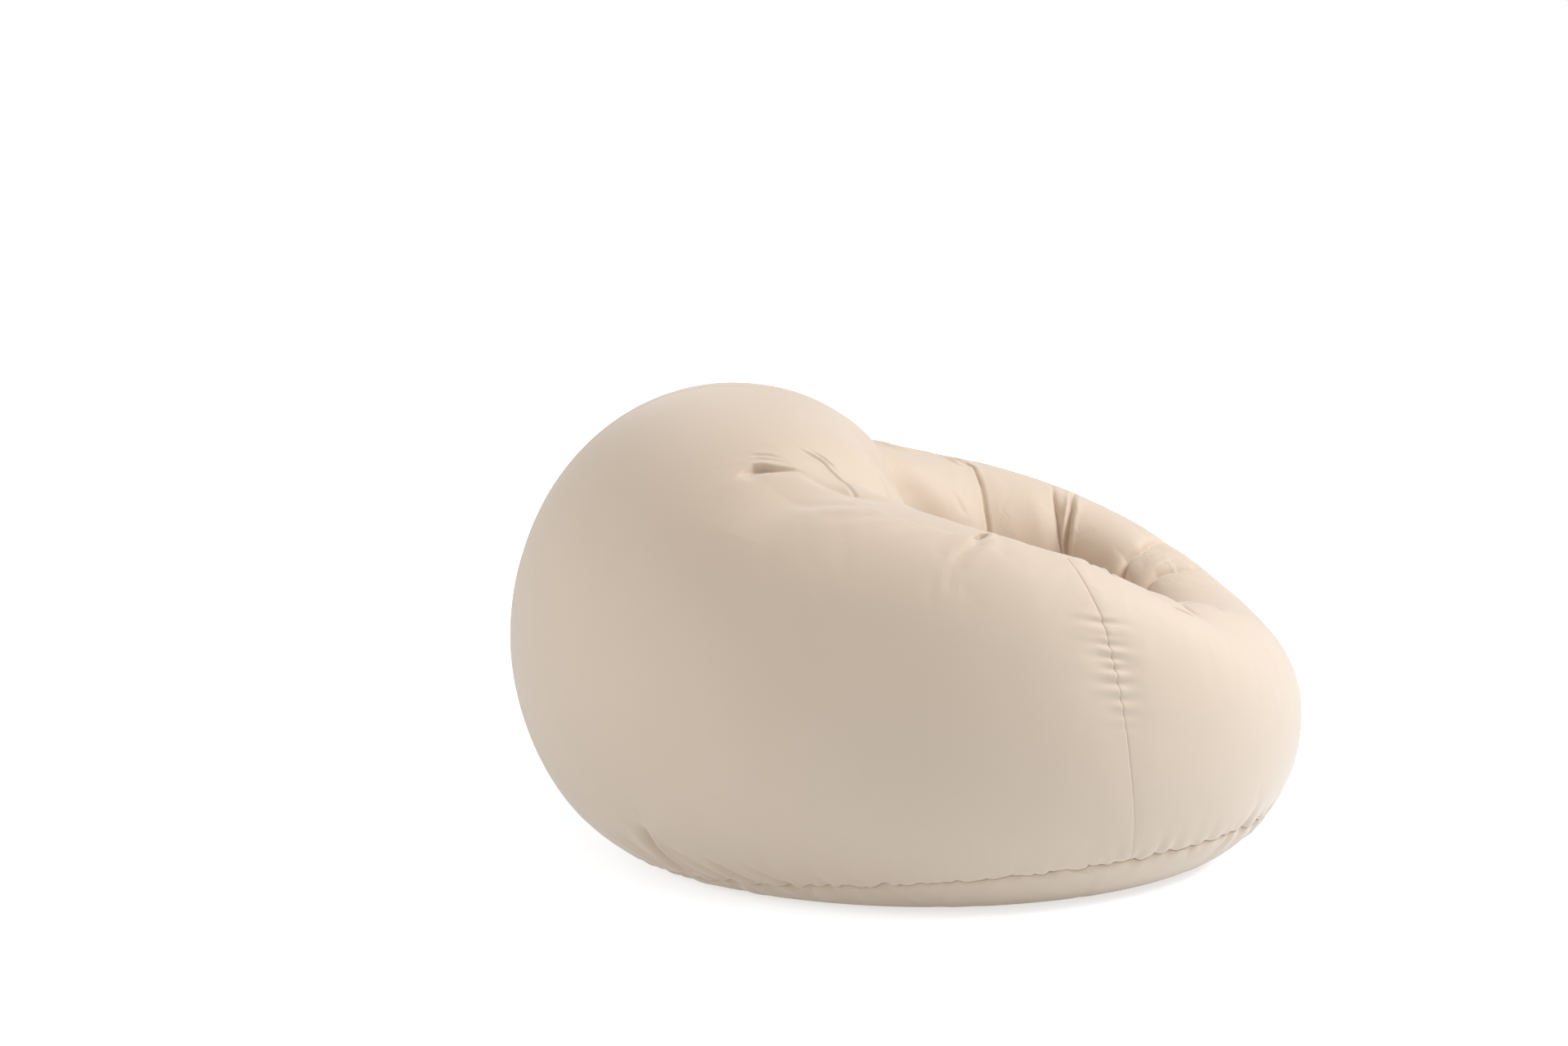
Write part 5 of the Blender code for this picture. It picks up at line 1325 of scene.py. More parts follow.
@dataclass(frozen=True)
class Valve:
    """A two-part air valve round its own Z axis: welded base, screwed core, flap, screw cap and tether."""

    name: str
    place: tuple[float, float, float]
    axis: tuple[float, float, float]
    flange: float = 0.024
    flange_thickness: float = 0.0016
    neck: float = 0.014
    neck_wall: float = 0.0018
    neck_height: float = 0.0105
    neck_depth: float = 0.008
    core_wall: float = 0.0016
    core_rim: float = 0.0172
    core_rim_thickness: float = 0.002
    boss: float = 0.01
    boss_height: float = 0.006
    spoke: float = 0.0022
    flap_thickness: float = 0.0008
    stem: float = 0.0016
    cap_wall: float = 0.0015
    cap_step: float = 0.0007
    grooves: int = 12
    groove: float = 0.0012
    strap_width: float = 0.003
    strap_thickness: float = 0.0012
    strap_bend: float = 0.003
    bead_places: tuple[float, float] = (0.86, 0.72)
    bead_half: float = 0.0009
    bead_top_half: float = 0.0004
    bead_height: float = 0.0003
    rim_teeth: int = 24
    rim_tooth: float = 0.0009
    dish_depth: float = 0.0003
    dish_rim: tuple[float, float] = (0.003, 0.0024)
    gap: float = 0.0003
    edge: float = 0.0004
    steps: int = 96

    @property
    def frame(self) -> Matrix:
        """Frame whose +Z runs out along the valve."""
        turn = Vector((0, 0, 1)).rotation_difference(Vector(self.axis)).to_matrix().to_4x4()
        return Matrix.Translation(self.place) @ turn

    @property
    def bore(self) -> float:
        """Inner radius of the neck."""
        return self.neck - self.neck_wall

    @property
    def neck_top(self) -> float:
        """Height of the top of the neck."""
        return self.gap + self.flange_thickness + self.neck_height

    @property
    def seat(self) -> float:
        """Height on which the cap sits."""
        return self.neck_top + self.gap + self.core_rim_thickness

    @property
    def core_low(self) -> float:
        """Height of the core's lower end."""
        return -self.neck_depth + 2 * self.flap_thickness + self.gap

    def base(self) -> Object:
        """Make the welded base: a flange with two weld beads, and the neck."""
        top = self.gap + self.flange_thickness
        beads = []
        for reach in self.bead_places:
            middle = self.flange * reach
            beads += [
                (middle + self.bead_half, top), (middle + self.bead_top_half, top + self.bead_height),
                (middle - self.bead_top_half, top + self.bead_height), (middle - self.bead_half, top)]
        outline = [(self.neck, self.neck_top), (self.neck, top)] + beads[::-1]
        outline += [
            (self.flange, top), (self.flange, self.gap), (self.neck, self.gap),
            (self.neck, -self.neck_depth), (self.bore, -self.neck_depth), (self.bore, self.neck_top)]
        shape = Shape()
        shape.turned(Shape.rounded(outline, self.edge), self.steps)
        return shape.build(f"valve_{self.name}_base", self.frame)

    def core(self) -> Object:
        """Make the screwed core: sleeve, notched rim, hollow boss, and spokes with a hub."""
        sleeve = self.bore - self.gap
        inner = sleeve - self.core_wall
        boss_bore = self.boss - self.core_wall
        low, high = self.neck_top + self.gap, self.seat
        outline = [
            (self.boss, high + self.boss_height), (self.boss, high), (self.core_rim, high),
            (self.core_rim, low), (sleeve, low), (sleeve, self.core_low), (inner, self.core_low),
            (inner, low), (boss_bore, high), (boss_bore, high + self.boss_height)]
        profile = Shape.rounded(outline, self.edge)
        turn = turns(2 * self.steps)
        teeth = np.clip(4 * (np.cos(self.rim_teeth * turn) - 0.55), 0, 1) * self.rim_tooth
        notch = (profile[:, 0] > self.core_rim - 1.5 * self.edge)[:, None] * teeth
        shape = Shape()
        shape.turned(profile, 2 * self.steps, notch)
        spoke_low, spoke_high = self.core_low + 2 * self.gap, self.core_low + self.spoke
        for quarter in range(4):
            turned = Matrix.Rotation(math.pi / 2 * quarter, 2)
            end, half = inner + self.core_wall / 2, self.spoke / 2
            bar = Shape.rounded([(self.stem, -half), (end, -half), (end, half), (self.stem, half)], self.edge)
            shape.plate(bar @ np.array(turned).T, spoke_low, spoke_high, self.edge / 2)
        near, far = self.stem + self.gap, 2 * self.stem + self.gap
        hub_low, hub_high = spoke_low - self.gap, spoke_high + self.gap
        hub = [(near, hub_low), (far, hub_low), (far, hub_high), (near, hub_high)]
        shape.turned(Shape.rounded(hub, self.edge / 2), self.steps // 2)
        return shape.build(f"valve_{self.name}_core", self.frame)

    def flap(self) -> Object:
        """Make the soft flap: a thin disc on a stem with a bulb."""
        top = self.core_low - self.gap
        hub_top = self.core_low + self.gap + self.spoke
        bulb = self.stem + 2 * self.gap
        disc = self.bore - 4 * self.gap
        outline = [(0, hub_top + self.gap + self.stem), (bulb, hub_top + self.gap + self.stem),
                   (bulb, hub_top + self.gap), (self.stem, hub_top + self.gap), (self.stem, top), (disc, top),
                   (disc, top - self.flap_thickness), (0, top - self.flap_thickness)]
        shape = Shape()
        shape.turned(Shape.rounded(outline, self.edge, loop=False), self.steps)
        return shape.build(f"valve_{self.name}_flap", self.frame)

    def cap(self) -> Object:
        """Make the screw cap: grooves cut as round flutes into its head, over a plain skirt."""
        bore = self.boss + self.gap
        skirt = bore + self.cap_wall
        lip = skirt + self.cap_step
        head = lip + self.cap_step
        low = self.seat + self.gap
        inside = self.seat + self.boss_height + self.gap
        high = inside + self.cap_wall
        head_low = low + self.strap_thickness + self.cap_step + 2 * self.gap
        dish = high - self.dish_depth
        outline = [
            (0, dish), (head - self.dish_rim[0], dish), (head - self.dish_rim[1], high), (head, high),
            (head, head_low), (skirt, head_low), (skirt, low + self.cap_step), (lip, low + self.cap_step),
            (lip, low), (bore, low), (bore, inside), (0, inside)]
        profile = Shape.rounded(outline, self.edge, loop=False)
        steps = self.grooves * 16
        turn = turns(steps)
        from_groove = (turn * self.grooves + math.pi) % (2 * math.pi) / self.grooves - math.pi / self.grooves
        off = head * np.sin(from_groove)
        flute = np.sqrt(np.maximum(self.groove ** 2 - off ** 2, 0))
        notch = (profile[:, 0] > head - 2 * self.edge)[:, None] * flute
        shape = Shape()
        shape.turned(profile, steps, notch)
        return shape.build(f"valve_{self.name}_cap", self.frame)

    def tether(self) -> Object:
        """Make the tether: flat rings round the neck and the cap's skirt, and a strap bent between them."""
        neck_ring = self.neck + self.gap
        cap_ring = self.boss + self.cap_wall + 2 * self.gap
        low = self.gap + self.flange_thickness + self.gap
        high = self.seat + 2 * self.gap + self.cap_step
        shape = Shape()
        for radius, start in ((neck_ring, low), (cap_ring, high)):
            wide, top = radius + self.strap_width, start + self.strap_thickness
            outline = [(wide, top), (wide, start), (radius, start), (radius, top)]
            shape.turned(Shape.rounded(outline, self.edge), self.steps)
        half = self.strap_thickness / 2
        outside = self.core_rim + 2 * self.strap_thickness - half
        corners = [
            (neck_ring + self.strap_width / 2, low + half), (outside, low + half),
            (outside, high + half), (cap_ring + self.strap_width / 2, high + half)]
        bent = Shape.rounded(corners, self.strap_bend, 10, loop=False)
        path = np.column_stack([bent[:, 0], np.zeros(len(bent)), bent[:, 1]])
        wide, thin = self.strap_width / 2, half - 0.0001
        section = Shape.rounded([(-wide, -thin), (wide, -thin), (wide, thin), (-wide, thin)], self.edge)
        shape.sweep(path, section, np.array((0.0, 1.0, 0.0)))
        return shape.build(f"valve_{self.name}_tether", self.frame)


@dataclass(frozen=True)
class Zip:
    """The closed zip of the base, its slider at the back end. It lies along Y and its pull hangs below."""

    front: float = -0.2625
    back: float = 0.1775
    tape_width: float = 0.014
    tape_thickness: float = 0.0006
    tape_base: float = 0.0133
    tooth_middle: float = 0.0136
    tooth_height: float = 0.0024
    tooth_reach: float = 0.0033
    tooth_overlap: float = 0.0011
    tooth_pitch: float = 0.004
    cord: float = 0.0008
    stop: float = 0.004
    slider: float = 0.1654
    slider_length: float = 0.015
    slider_width: float = 0.01
    plate: float = 0.0012
    wire: float = 0.0007
    bail: float = 0.004
    leg: float = 0.0012
    pull_length: float = 0.026
    pull_width: float = 0.008
    pull_thickness: float = 0.0012
    rim: float = 0.0012
    grip: float = 0.0016
    gap: float = 0.0003
    base_height: float = 0.012
    stitch_pitch: float = 0.0034
    stitch_thread: float = 0.00022
    stitch_sink: float = 0.00005
    stitch_margin: float = 0.004
    tooth_waist: float = 0.62
    tooth_head: float = 0.84
    tooth_steps: tuple[float, float, float] = (0.0012, 0.0005, 0.0002)
    corner: float = 0.0003
    clip_corner: float = 0.0005
    body_corner: float = 0.0012
    plate_edge: float = 0.0004
    fine_edge: float = 0.0001
    pull_corner: float = 0.0028
    pull_bevel: float = 0.00025
    pull_play: float = 0.0005

    @property
    def tooth_low(self) -> float:
        """Height of the underside of the teeth."""
        return self.tooth_middle - self.tooth_height / 2

    @property
    def tooth_high(self) -> float:
        """Height of the top of the teeth."""
        return self.tooth_middle + self.tooth_height / 2

    @staticmethod
    def mirrored(half: list[tuple[float, float]]) -> list[tuple[float, float]]:
        """An outline from its half at positive x."""
        return half + [(-x, y) for x, y in reversed(half)]

    def tape(self, side: int) -> Object:
        """Make a woven tape, with the threads that hold it to the base above and below."""
        inner = self.tooth_reach + self.gap
        thin = self.tape_thickness / 2
        ends = sorted((side * inner, side * (inner + self.tape_width)))
        section = Shape.rounded([(ends[0], -thin), (ends[1], -thin), (ends[1], thin), (ends[0], thin)], thin)
        run = np.linspace(self.front, self.back, 90)
        path = np.column_stack([np.zeros(run.size), run, np.full(run.size, self.tape_base + thin)])
        shape = Shape()
        shape.sweep(path, section, SIDEWAYS)
        starts = np.arange(self.front + self.stitch_margin, self.back - self.stitch_margin, self.stitch_pitch)
        share = np.linspace(0, 1, 5)
        for height, sign in ((self.tape_base + self.tape_thickness, 1), (self.base_height, -1)):
            bow = height + sign * (self.stitch_thread * np.sin(share * math.pi) - self.stitch_sink)
            across = np.full(share.size, side * (inner + 0.6 * self.tape_width))
            for start in starts:
                path = np.column_stack([across, start + share * 0.7 * self.stitch_pitch, bow])
                shape.sweep(path, Shape.circle(self.stitch_thread, 6), SIDEWAYS)
        name = "zip_tape_side_" + ("left" if side > 0 else "right")
        return shape.build(name, plane=True)

    def teeth(self, side: int) -> Object:
        """Make one row of moulded teeth on their cord. The other row stands half a pitch along."""
        quarter = self.tooth_pitch / 4
        start = self.front + self.stop + self.gap + quarter * 2
        count = int((self.back - self.stop - self.slider_length / 2 - start) / self.tooth_pitch)
        neck, head = quarter * self.tooth_waist, quarter * self.tooth_head
        shoulder, waist, tip = self.tooth_steps
        half = [(shoulder, head), (waist, neck), (-tip, head), (-self.tooth_overlap, neck)]
        corners = [(self.tooth_reach, -head), (self.tooth_reach, head), *half]
        corners += [(x, -y) for x, y in reversed(half)]
        outline = Shape.rounded([(side * x, y) for x, y in corners], self.corner, 2)
        shape = Shape()
        for number in range(count):
            middle = start + (number + (side > 0) / 2) * self.tooth_pitch
            shape.plate(outline, self.tooth_low, self.tooth_high, self.corner / 2, (0.0, middle))
        run = np.linspace(self.front, self.back, 60)
        across = np.full(run.size, side * (self.tooth_reach - self.cord))
        path = np.column_stack([across, run, np.full(run.size, self.tooth_middle)])
        shape.sweep(path, Shape.circle(self.cord, 10), SIDEWAYS)
        return shape.build("zip_teeth_row_" + ("left" if side > 0 else "right"))

    def stop_clip(self, place: str) -> Object:
        """Make the stop at one end: a small pressed block with a groove across its middle."""
        half = self.tooth_reach - 2 * self.cord - self.fine_edge
        start = self.front if place == "front" else self.back - self.stop
        shape = Shape()
        for share in (0.0, 0.52):
            low, high = start + share * self.stop, start + (share + 0.48) * self.stop
            outline = [(-half, low), (half, low), (half, high), (-half, high)]
            outline = Shape.rounded(outline, self.clip_corner)
            shape.plate(outline, self.tooth_low, self.tooth_high, self.corner)
        low, high = start + 0.3 * self.stop, start + 0.7 * self.stop
        outline = np.array([(-0.8 * half, low), (0.8 * half, low), (0.8 * half, high), (-0.8 * half, high)])
        rise = self.tooth_height / 3
        shape.plate(outline, self.tooth_middle - rise, self.tooth_middle + rise, self.fine_edge)
        return shape.build("zip_clip_" + place)

    @property
    def half_height(self) -> float:
        """From the middle of the teeth to the outside of one of the slider's plates."""
        return self.tooth_height / 2 + self.gap + self.plate

    def slider_body(self) -> Object:
        """Make the slider: two waisted plates, lips beside the tapes and the bail below.

        The post between the plates is left out, because the teeth don't part where the slider runs.
        """
        wide, long, tall = self.slider_width / 2, self.slider_length / 2, self.half_height
        channel = tall - self.plate
        waist = [(0.82 * wide, -0.4 * long), (0.82 * wide, -long)]
        half = [(0.72 * wide, long), (wide, 0.72 * long), (wide, 0.25 * long), *waist]
        outline = Shape.rounded(self.mirrored(half), self.body_corner)
        shape = Shape()
        shape.plate(outline, channel, tall, self.plate_edge)
        shape.plate(outline, -tall, -channel, self.plate_edge)
        slot = self.tape_thickness / 2 + self.gap
        lip = self.tooth_reach + self.gap
        for side in (1, -1):
            corners = [
                (lip, -long), *reversed(waist), (wide, 0.25 * long), (wide, 0.72 * long),
                (0.8 * wide, 0.92 * long), (lip, 0.92 * long)]
            bar = Shape.rounded([(side * x, y) for x, y in corners], self.corner)
            shape.plate(bar, slot, channel + self.plate / 2, self.fine_edge)
            shape.plate(bar, -channel - self.plate / 2, -slot, self.fine_edge)
        turn = np.linspace(0, math.pi, 25)
        bend = -tall - self.leg
        path = np.stack([0 * turn, self.bail * np.cos(turn), bend - self.bail * np.sin(turn)], axis=-1)
        legs = [np.array([(0, sign * self.bail, -tall + self.plate / 2)]) for sign in (1, -1)]
        path = np.concatenate([legs[0], path, legs[1]])
        shape.sweep(path, Shape.circle(self.wire, 12), SIDEWAYS)
        return shape.build("zip_slider_body", Matrix.Translation((0, self.slider, self.tooth_middle)))

    def pull(self) -> Object:
        """Make the pull: a flat tab with an eye for the bail and a round grip hole, its edges rounded."""
        eye = self.wire + self.pull_play
        near = -self.bail + eye + self.rim
        far = near - self.pull_length
        wide = self.pull_width / 2
        curve = bpy.data.curves.new("zip_pull_outline", "CURVE")
        curve.dimensions = "2D"
        curve.fill_mode = "BOTH"
        curve.extrude = self.pull_thickness / 2 - self.pull_bevel
        curve.bevel_depth = self.pull_bevel
        curve.bevel_resolution = 2
        curve.offset = -self.pull_bevel
        waist = (0.8 * wide, near - 0.45 * self.pull_length)
        half = [(0.55 * wide, near), waist, (wide, far + wide), (0.7 * wide, far)]
        rings = [Shape.rounded(self.mirrored(half), self.pull_corner, 6)]
        rings += [Shape.circle(radius, 32) + np.array((0, middle))
                  for radius, middle in ((eye, -self.bail), (self.grip, far + wide))]
        for ring in rings:
            spline = curve.splines.new("POLY")
            spline.points.add(len(ring) - 1)
            flat = np.column_stack([ring, np.zeros(len(ring)), np.ones(len(ring))])
            spline.points.foreach_set("co", flat.astype(np.float32).ravel())
            spline.use_cyclic_u = True
        drawn = linked("zip_pull_outline", curve)
        graph = bpy.context.evaluated_depsgraph_get()
        made = bpy.data.meshes.new_from_object(drawn.evaluated_get(graph))
        bpy.data.objects.remove(drawn)
        made.transform(Matrix.Translation((0, self.slider, self.tooth_middle - self.half_height - self.leg)))
        made.name = "zip_pull_tab"
        shape = bmesh.new()
        shape.from_mesh(made)
        bmesh.ops.remove_doubles(shape, verts=shape.verts, dist=0.00001)
        bmesh.ops.recalc_face_normals(shape, faces=shape.faces)
        shape.to_mesh(made)
        shape.free()
        made.shade_smooth()
        made.set_sharp_from_angle(angle=SHARP_EDGE)
        return linked("zip_pull_tab", made)


@dataclass(frozen=True)
class Camera:
    """The camera of the photograph, found from the chair's own outline."""

    place: tuple[float, float, float] = (-5.833, 0.2535, 1.483)
    elevation: float = math.radians(9.446)
    azimuth: float = math.radians(-0.603)
    lens: float = 86.6
    sensor: float = 36.0

    def build(self) -> None:
        """Put the camera in the scene, its view axis from the elevation and azimuth."""
        data = bpy.data.cameras.new("camera")
        data.lens = self.lens
        data.sensor_width = self.sensor
        data.clip_end = 100
        made = linked("camera", data)
        back = Vector((
            -math.cos(self.elevation) * math.cos(self.azimuth),
            -math.cos(self.elevation) * math.sin(self.azimuth),
            math.sin(self.elevation),
        ))
        right = (-back).cross(Vector((0, 0, 1))).normalized()
        up = right.cross(-back)
        turn = Matrix((right, up, back)).transposed().to_4x4()
        made.matrix_world = Matrix.Translation(self.place) @ turn
        bpy.context.scene.camera = made


class Nodes:
    """The node tree of a material or world, with one call that adds a node with its settings and links."""

    def __init__(self, owner: Material | bpy.types.World) -> None:
        """Start the owner with an empty tree."""
        self.owner = owner
        owner.use_nodes = True
        self.tree = owner.node_tree
        self.tree.nodes.clear()

    def add(self, kind: str, settings: dict | None = None, **sockets: object) -> bpy.types.Node:
        """Add a node.

        Args:
            kind: Blender's name of the node type.
            settings: Properties of the node.
            sockets: Input names with underscores for spaces, or in0, in1 and so on for an input by its
                number, each with a value or another node's output.

        Returns:
            The node.
        """
        node = self.tree.nodes.new(kind)
        for key, value in (settings or {}).items():
            setattr(node, key, value)
        for key, value in sockets.items():
            numbered = key.startswith("in") and key[2:].isdigit()
            socket = node.inputs[int(key[2:]) if numbered else key.replace("_", " ")]
            if isinstance(value, Socket):
                self.tree.links.new(value, socket)
            else:
                socket.default_value = value
        return node

    def noise(self, where: Socket, scale: float, **sockets: float) -> Socket:
        """Add a noise on some coordinates, and give its value."""
        return self.add("ShaderNodeTexNoise", None, Vector=where, Scale=scale, **sockets).outputs["Fac"]

    def tone(self, share: Socket, colour: str, shade: str) -> Socket:
        """Mix two sRGB hex colours by a share."""
        tones = {"in6": linear(colour), "in7": linear(shade)}
        return self.add("ShaderNodeMix", {"data_type": "RGBA"}, Factor=share, **tones).outputs[2]

    def math(self, operation: str, *values: float | Socket) -> Socket:
        """Add a node that works out one operation on up to three values."""
        sockets = {f"in{number}": value for number, value in enumerate(values)}
        return self.add("ShaderNodeMath", {"operation": operation}, **sockets).outputs[0]


@dataclass(frozen=True)
class TextileFinish:
    """Woven polyester of the cover, piece dyed and calendered: matt, with a soft sheen at the turn."""

    name: str = "woven_polyester_beige"
    colour: str = "D9C4AC"
    shade: str = "D4BEA6"
    roughness: float = 0.62
    sheen: float = 0.35
    thread: float = 0.0009

    def build(self) -> Material:
        """Plain weave from two sine waves on the cloth's own coordinates, and slow changes of tone.

        The thread is drawn coarser than the real one, so that the weave shows at the photograph's size.
        """
        nodes = Nodes(bpy.data.materials.new(self.name))
        where = nodes.add("ShaderNodeTexCoord")
        split = nodes.add("ShaderNodeSeparateXYZ", None, Vector=where.outputs["UV"])
        per_metre = 2 * math.pi / self.thread
        turned = [nodes.math("MULTIPLY", split.outputs[axis], per_metre) for axis in ("X", "Y")]
        weave = nodes.math("MULTIPLY", *[nodes.math("SINE", value) for value in turned])
        slow = nodes.noise(where.outputs["Object"], 5.0, Detail=3.0, Roughness=0.5)
        fine = nodes.noise(where.outputs["Object"], 260.0, Detail=2.0, Roughness=0.6)
        height = nodes.math("MULTIPLY_ADD", fine, 0.5, weave)
        bump = nodes.add("ShaderNodeBump", None, Strength=0.12, Distance=0.0002, Height=height)
        shader = nodes.add(
            "ShaderNodeBsdfPrincipled", None, Base_Color=nodes.tone(slow, self.colour, self.shade),
            Roughness=self.roughness, Normal=bump.outputs[0], Sheen_Weight=self.sheen, Sheen_Roughness=0.5,
            Specular_IOR_Level=0.5)
        nodes.add("ShaderNodeOutputMaterial", None, Surface=shader.outputs[0])
        return nodes.owner


@dataclass(frozen=True)
class SolidFinish:
    """A moulded, cast or drawn material: two close tones in slow clouds, and a fine grain in the gloss."""

    name: str
    colour: str
    shade: str
    roughness: float
    metallic: float = 0.0
    grain: float = 900.0
    relief: float = 0.05
    soft: float = 0.0
    specular: float = 0.5

    def build(self) -> Material:
        """Tone from one noise on the object's own coordinates, gloss and relief from a finer one."""
        nodes = Nodes(bpy.data.materials.new(self.name))
        where = nodes.add("ShaderNodeTexCoord")
        slow = nodes.noise(where.outputs["Object"], 45.0, Detail=2.0)
        fine = nodes.noise(where.outputs["Object"], self.grain, Detail=2.0)
        gloss = nodes.add(
            "ShaderNodeMapRange", None, Value=fine, From_Min=0.3, From_Max=0.7,
            To_Min=self.roughness - 0.05, To_Max=self.roughness + 0.07)
        bump = nodes.add("ShaderNodeBump", None, Strength=self.relief, Distance=0.0002, Height=fine)
        shader = nodes.add(
            "ShaderNodeBsdfPrincipled", None, Base_Color=nodes.tone(slow, self.colour, self.shade),
            Normal=bump.outputs[0], Roughness=gloss.outputs["Result"], Metallic=self.metallic,
            Specular_IOR_Level=self.specular, Subsurface_Weight=self.soft, Subsurface_Scale=0.002)
        nodes.add("ShaderNodeOutputMaterial", None, Surface=shader.outputs[0])
        return nodes.owner


# the cover's own cloth
COVER = TextileFinish()
# the zip's tape, woven from a thicker thread and dyed to the cover
TAPE = TextileFinish("woven_zip_tape", "D2BFAB", "CCB8A4", thread=0.0012)
# blown film, milky through its own haze, with a wet gloss from the polished rolls
FILM = SolidFinish("blown_film_milky", "C9CCCC", "BEC2C3", 0.3, grain=220.0, relief=0.1, soft=0.15)
# moulded teeth in the cover's colour, matt from the sparked mould
TEETH = SolidFinish("moulded_acetal_teeth", "CDBBA8", "C6B4A1", 0.46)
# die-cast zinc under a nickel bath, tumbled to a satin
NICKEL = SolidFinish("nickel_plated_zinc", "C8C4BE", "BDB8B1", 0.3, metallic=1.0, grain=1400.0)
# moulded valve body in grey, faintly satin
PLASTIC = SolidFinish("moulded_valve_plastic", "B5B6B7", "ADAFB0", 0.44)
# cast silicone: soft, a little clear at thin edges, dry to the touch
SILICONE = SolidFinish("cast_silicone_white", "DAD9D5", "D2D1CD", 0.58, soft=0.12)


@dataclass(frozen=True)
class Lamp:
    """A large soft lamp that looks at the middle of the chair."""

    name: str
    place: tuple[float, float, float]
    size: tuple[float, float]
    power: float
    colour: str = "FFFFFF"

    def build(self) -> None:
        """Put the lamp in the scene."""
        data = bpy.data.lights.new(self.name, "AREA")
        data.shape = "RECTANGLE"
        data.size, data.size_y = self.size
        data.energy = self.power
        data.color = linear(self.colour)[:3]
        made = linked(self.name, data)
        aim = Vector((0, 0, 0.3)) - Vector(self.place)
        made.matrix_world = Matrix.Translation(self.place) @ aim.to_track_quat("-Z", "Y").to_matrix().to_4x4()


@dataclass
class Studio:
    """White floor, white background and the lamps."""

    floor_size: float = 60.0
    floor_colour: tuple[float, float, float, float] = (0.8, 0.87, 0.94, 1.0)
    ambient: float = 0.42
    floor_bounce: float = 0.2
    floor_lift: float = 0.55
    bare_ring: tuple[float, float] = (0.62, 1.2)
    lamps: tuple[Lamp, ...] = (
        Lamp("front_window", (-0.2, -4.1, 3.8), (2.6, 2.2), 222.0, "F4F8FF"),
        Lamp("back_fill", (-0.8, 4.6, 1.9), (2.4, 2.2), 62.0, "F8FAFF"),
        Lamp("top_soft", (0.4, -1.2, 2.8), (1.6, 1.2), 12.0, "F8FAFF"),
        Lamp("near_high", (-2.6, 0.2, 4.0), (2.0, 2.0), 11.0, "F8FAFF"),
    )

    def build(self) -> None:
        """Make the stage."""
        self.build_world()
        self.build_floor()
        for lamp in self.lamps:
            lamp.build()
        bpy.context.scene.view_settings.view_transform = "Standard"

    def build_world(self) -> None:
        """White to the camera and in reflections, a plain grey light to everything else."""
        world = bpy.data.worlds.new("studio")
        bpy.context.scene.world = world
        nodes = Nodes(world)
        path = nodes.add("ShaderNodeLightPath")
        seen = nodes.math("MAXIMUM", path.outputs["Is Camera Ray"], path.outputs["Is Glossy Ray"])
        seen = nodes.math("MAXIMUM", seen, path.outputs["Is Transmission Ray"])
        grey, white = (
            nodes.add("ShaderNodeBackground", None, Color=(1, 1, 1, 1), Strength=strength)
            for strength in (self.ambient, 1.0))
        mix = nodes.add("ShaderNodeMixShader", None, in0=seen, in1=grey.outputs[0], in2=white.outputs[0])
        nodes.add("ShaderNodeOutputWorld", None, Surface=mix.outputs[0])

    def build_floor(self) -> None:
        """A wide floor with the chair's shadow, lifted to white for the camera and clear from below."""
        half = self.floor_size / 2
        points = np.array([(-half, -half, 0), (half, -half, 0), (half, half, 0), (-half, half, 0)])
        floor = MeshMaker.mesh("floor", points, np.array([[0, 1, 2, 3]]))
        nodes = Nodes(bpy.data.materials.new("white_floor"))
        path = nodes.add("ShaderNodeLightPath")
        matt = nodes.add("ShaderNodeBsdfDiffuse", None, Color=self.floor_colour)
        where = nodes.add("ShaderNodeTexCoord")
        away = nodes.add("ShaderNodeVectorMath", {"operation": "LENGTH"}, in0=where.outputs["Object"])
        near, far = self.bare_ring
        white = nodes.add(
            "ShaderNodeMapRange", {"interpolation_type": "SMOOTHSTEP"}, Value=away.outputs["Value"],
            From_Min=near, From_Max=far, To_Min=self.floor_lift - self.floor_bounce, To_Max=1.0)
        camera_ray = path.outputs["Is Camera Ray"]
        lift = nodes.math("MULTIPLY_ADD", camera_ray, white.outputs["Result"], self.floor_bounce)
        glow = nodes.add("ShaderNodeEmission", None, Color=(1, 1, 1, 1), Strength=lift)
        both = nodes.add("ShaderNodeAddShader", None, in0=matt.outputs[0], in1=glow.outputs[0])
        side = nodes.add("ShaderNodeNewGeometry")
        below = nodes.math("MULTIPLY", side.outputs["Backfacing"], camera_ray)
        clear = nodes.add("ShaderNodeBsdfTransparent")
        shown = nodes.add("ShaderNodeMixShader", None, in0=below, in1=both.outputs[0], in2=clear.outputs[0])
        nodes.add("ShaderNodeOutputMaterial", None, Surface=shown.outputs[0])
        floor.data.materials.append(nodes.owner)


def place(piece: Object, node: str, finish: Material, slot: str,
          body: str = "chair") -> None:
    """Dress a piece that stands for a node, and let it ride.

    Args:
        piece: The piece.
        node: The node that it stands for.
        finish: Its material.
        slot: The record's material slot. Not used.
        body: The body that it moves with.
    """
    piece.data.materials.clear()
    piece.data.materials.append(finish)
    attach(piece, body)
    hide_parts(node)
    log.info("%s stands for %s: %d faces", piece.name, node, len(piece.data.polygons))


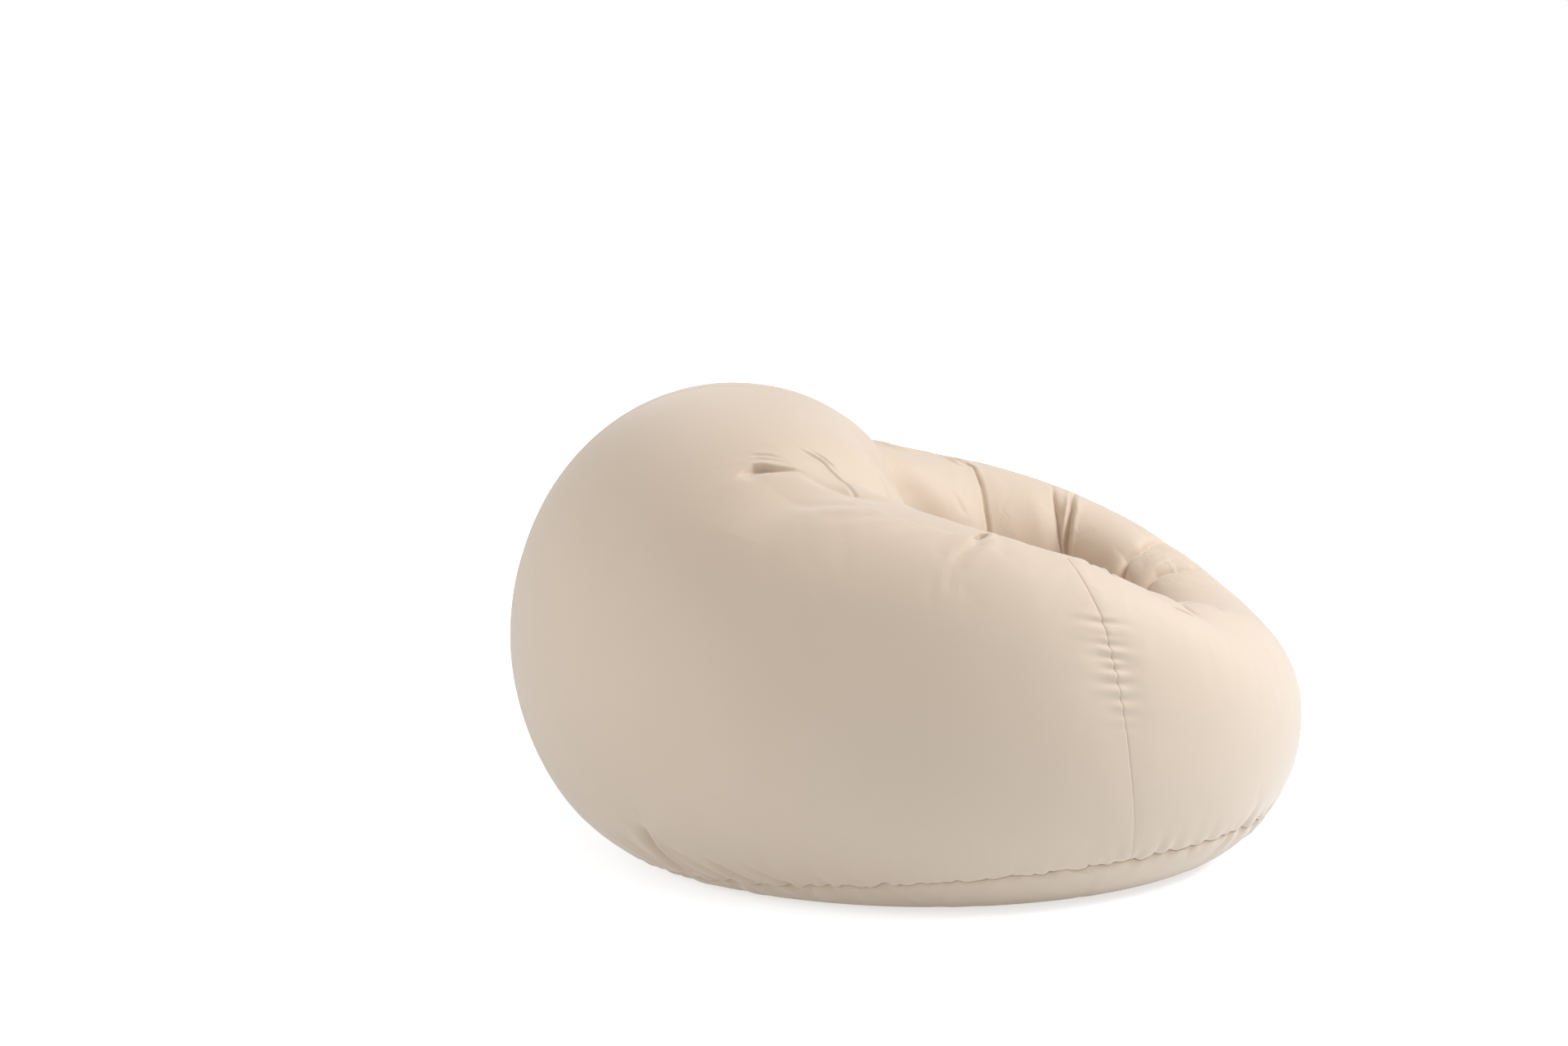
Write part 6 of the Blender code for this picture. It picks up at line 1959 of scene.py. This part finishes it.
def dress_cover(cover: Cover, textile: Material) -> None:
    """Make the cover's six panels and the port's patch."""
    panels = {
        "cover_side_right": cover.wall(Panel.RIGHT),
        "cover_side_left": cover.wall(Panel.LEFT),
        "cover_front": cover.wall(Panel.FRONT),
        "cover_seat": cover.seat(),
        "base_panel_right": cover.base(1),
        "base_panel_left": cover.base(-1),
    }
    for node, piece in panels.items():
        place(piece, node, textile, "cover_cloth")
    place(cover.port.patch(cover.cloth), "port_patch", textile, "cover_cloth")


def dress_zip(fastener: Zip, tape: Material, teeth: Material,
              metal: Material) -> None:
    """Make the zip."""
    sides = ((-1, "right"), (1, "left"))
    for side, end in sides:
        place(fastener.tape(side), "zip_tape_" + end, tape, "zip_tape")
    for side, end in sides:
        place(fastener.teeth(side), "zip_teeth_" + end, teeth, "zip_teeth")
    for end in ("front", "back"):
        place(fastener.stop_clip(end), "zip_stop_" + end, metal, "zip_metal")
    place(fastener.slider_body(), "zip_slider", metal, "zip_metal", "zip_slider")
    place(fastener.pull(), "zip_pull", metal, "zip_metal", "zip_pull")


def dress_valve(valve: Valve, plastic: Material, silicone: Material) -> None:
    """Make one valve, its cap and tether each riding on a body of its own."""
    node = valve.name + "_valve_"
    place(valve.base(), node + "base", plastic, "valve_plastic")
    place(valve.core(), node + "core", plastic, "valve_plastic")
    place(valve.flap(), node + "flap", silicone, "valve_silicone")
    place(valve.cap(), node + "cap", plastic, "valve_plastic", node + "cap")
    place(valve.tether(), node + "tether", silicone, "valve_silicone", node + "tether")


def main() -> None:
    """Build the chair and the stage."""
    logging.basicConfig(level=logging.INFO, format="%(message)s")
    textile, film, tape, teeth, nickel, plastic, silicone = (
        finish.build() for finish in (COVER, FILM, TAPE, TEETH, NICKEL, PLASTIC, SILICONE))
    cover = Cover()
    cover.cloth.relief = Inflation().run(cover.cloth)
    dress_cover(cover, textile)
    bladders = Bladders(cover.cloth)
    place(bladders.ring(), "ring_bladder", film, "bladder_film")
    place(bladders.seat(), "seat_bladder", film, "bladder_film")
    dress_zip(Zip(), tape, teeth, nickel)
    dress_valve(Valve("ring", cover.port.place, cover.port.axis), plastic, silicone)
    dress_valve(Valve("seat", SEAT_VALVE, (0.0, 0.0, -1.0)), plastic, silicone)
    Camera().build()
    Studio().build()


if __name__ == "__main__":
    main()
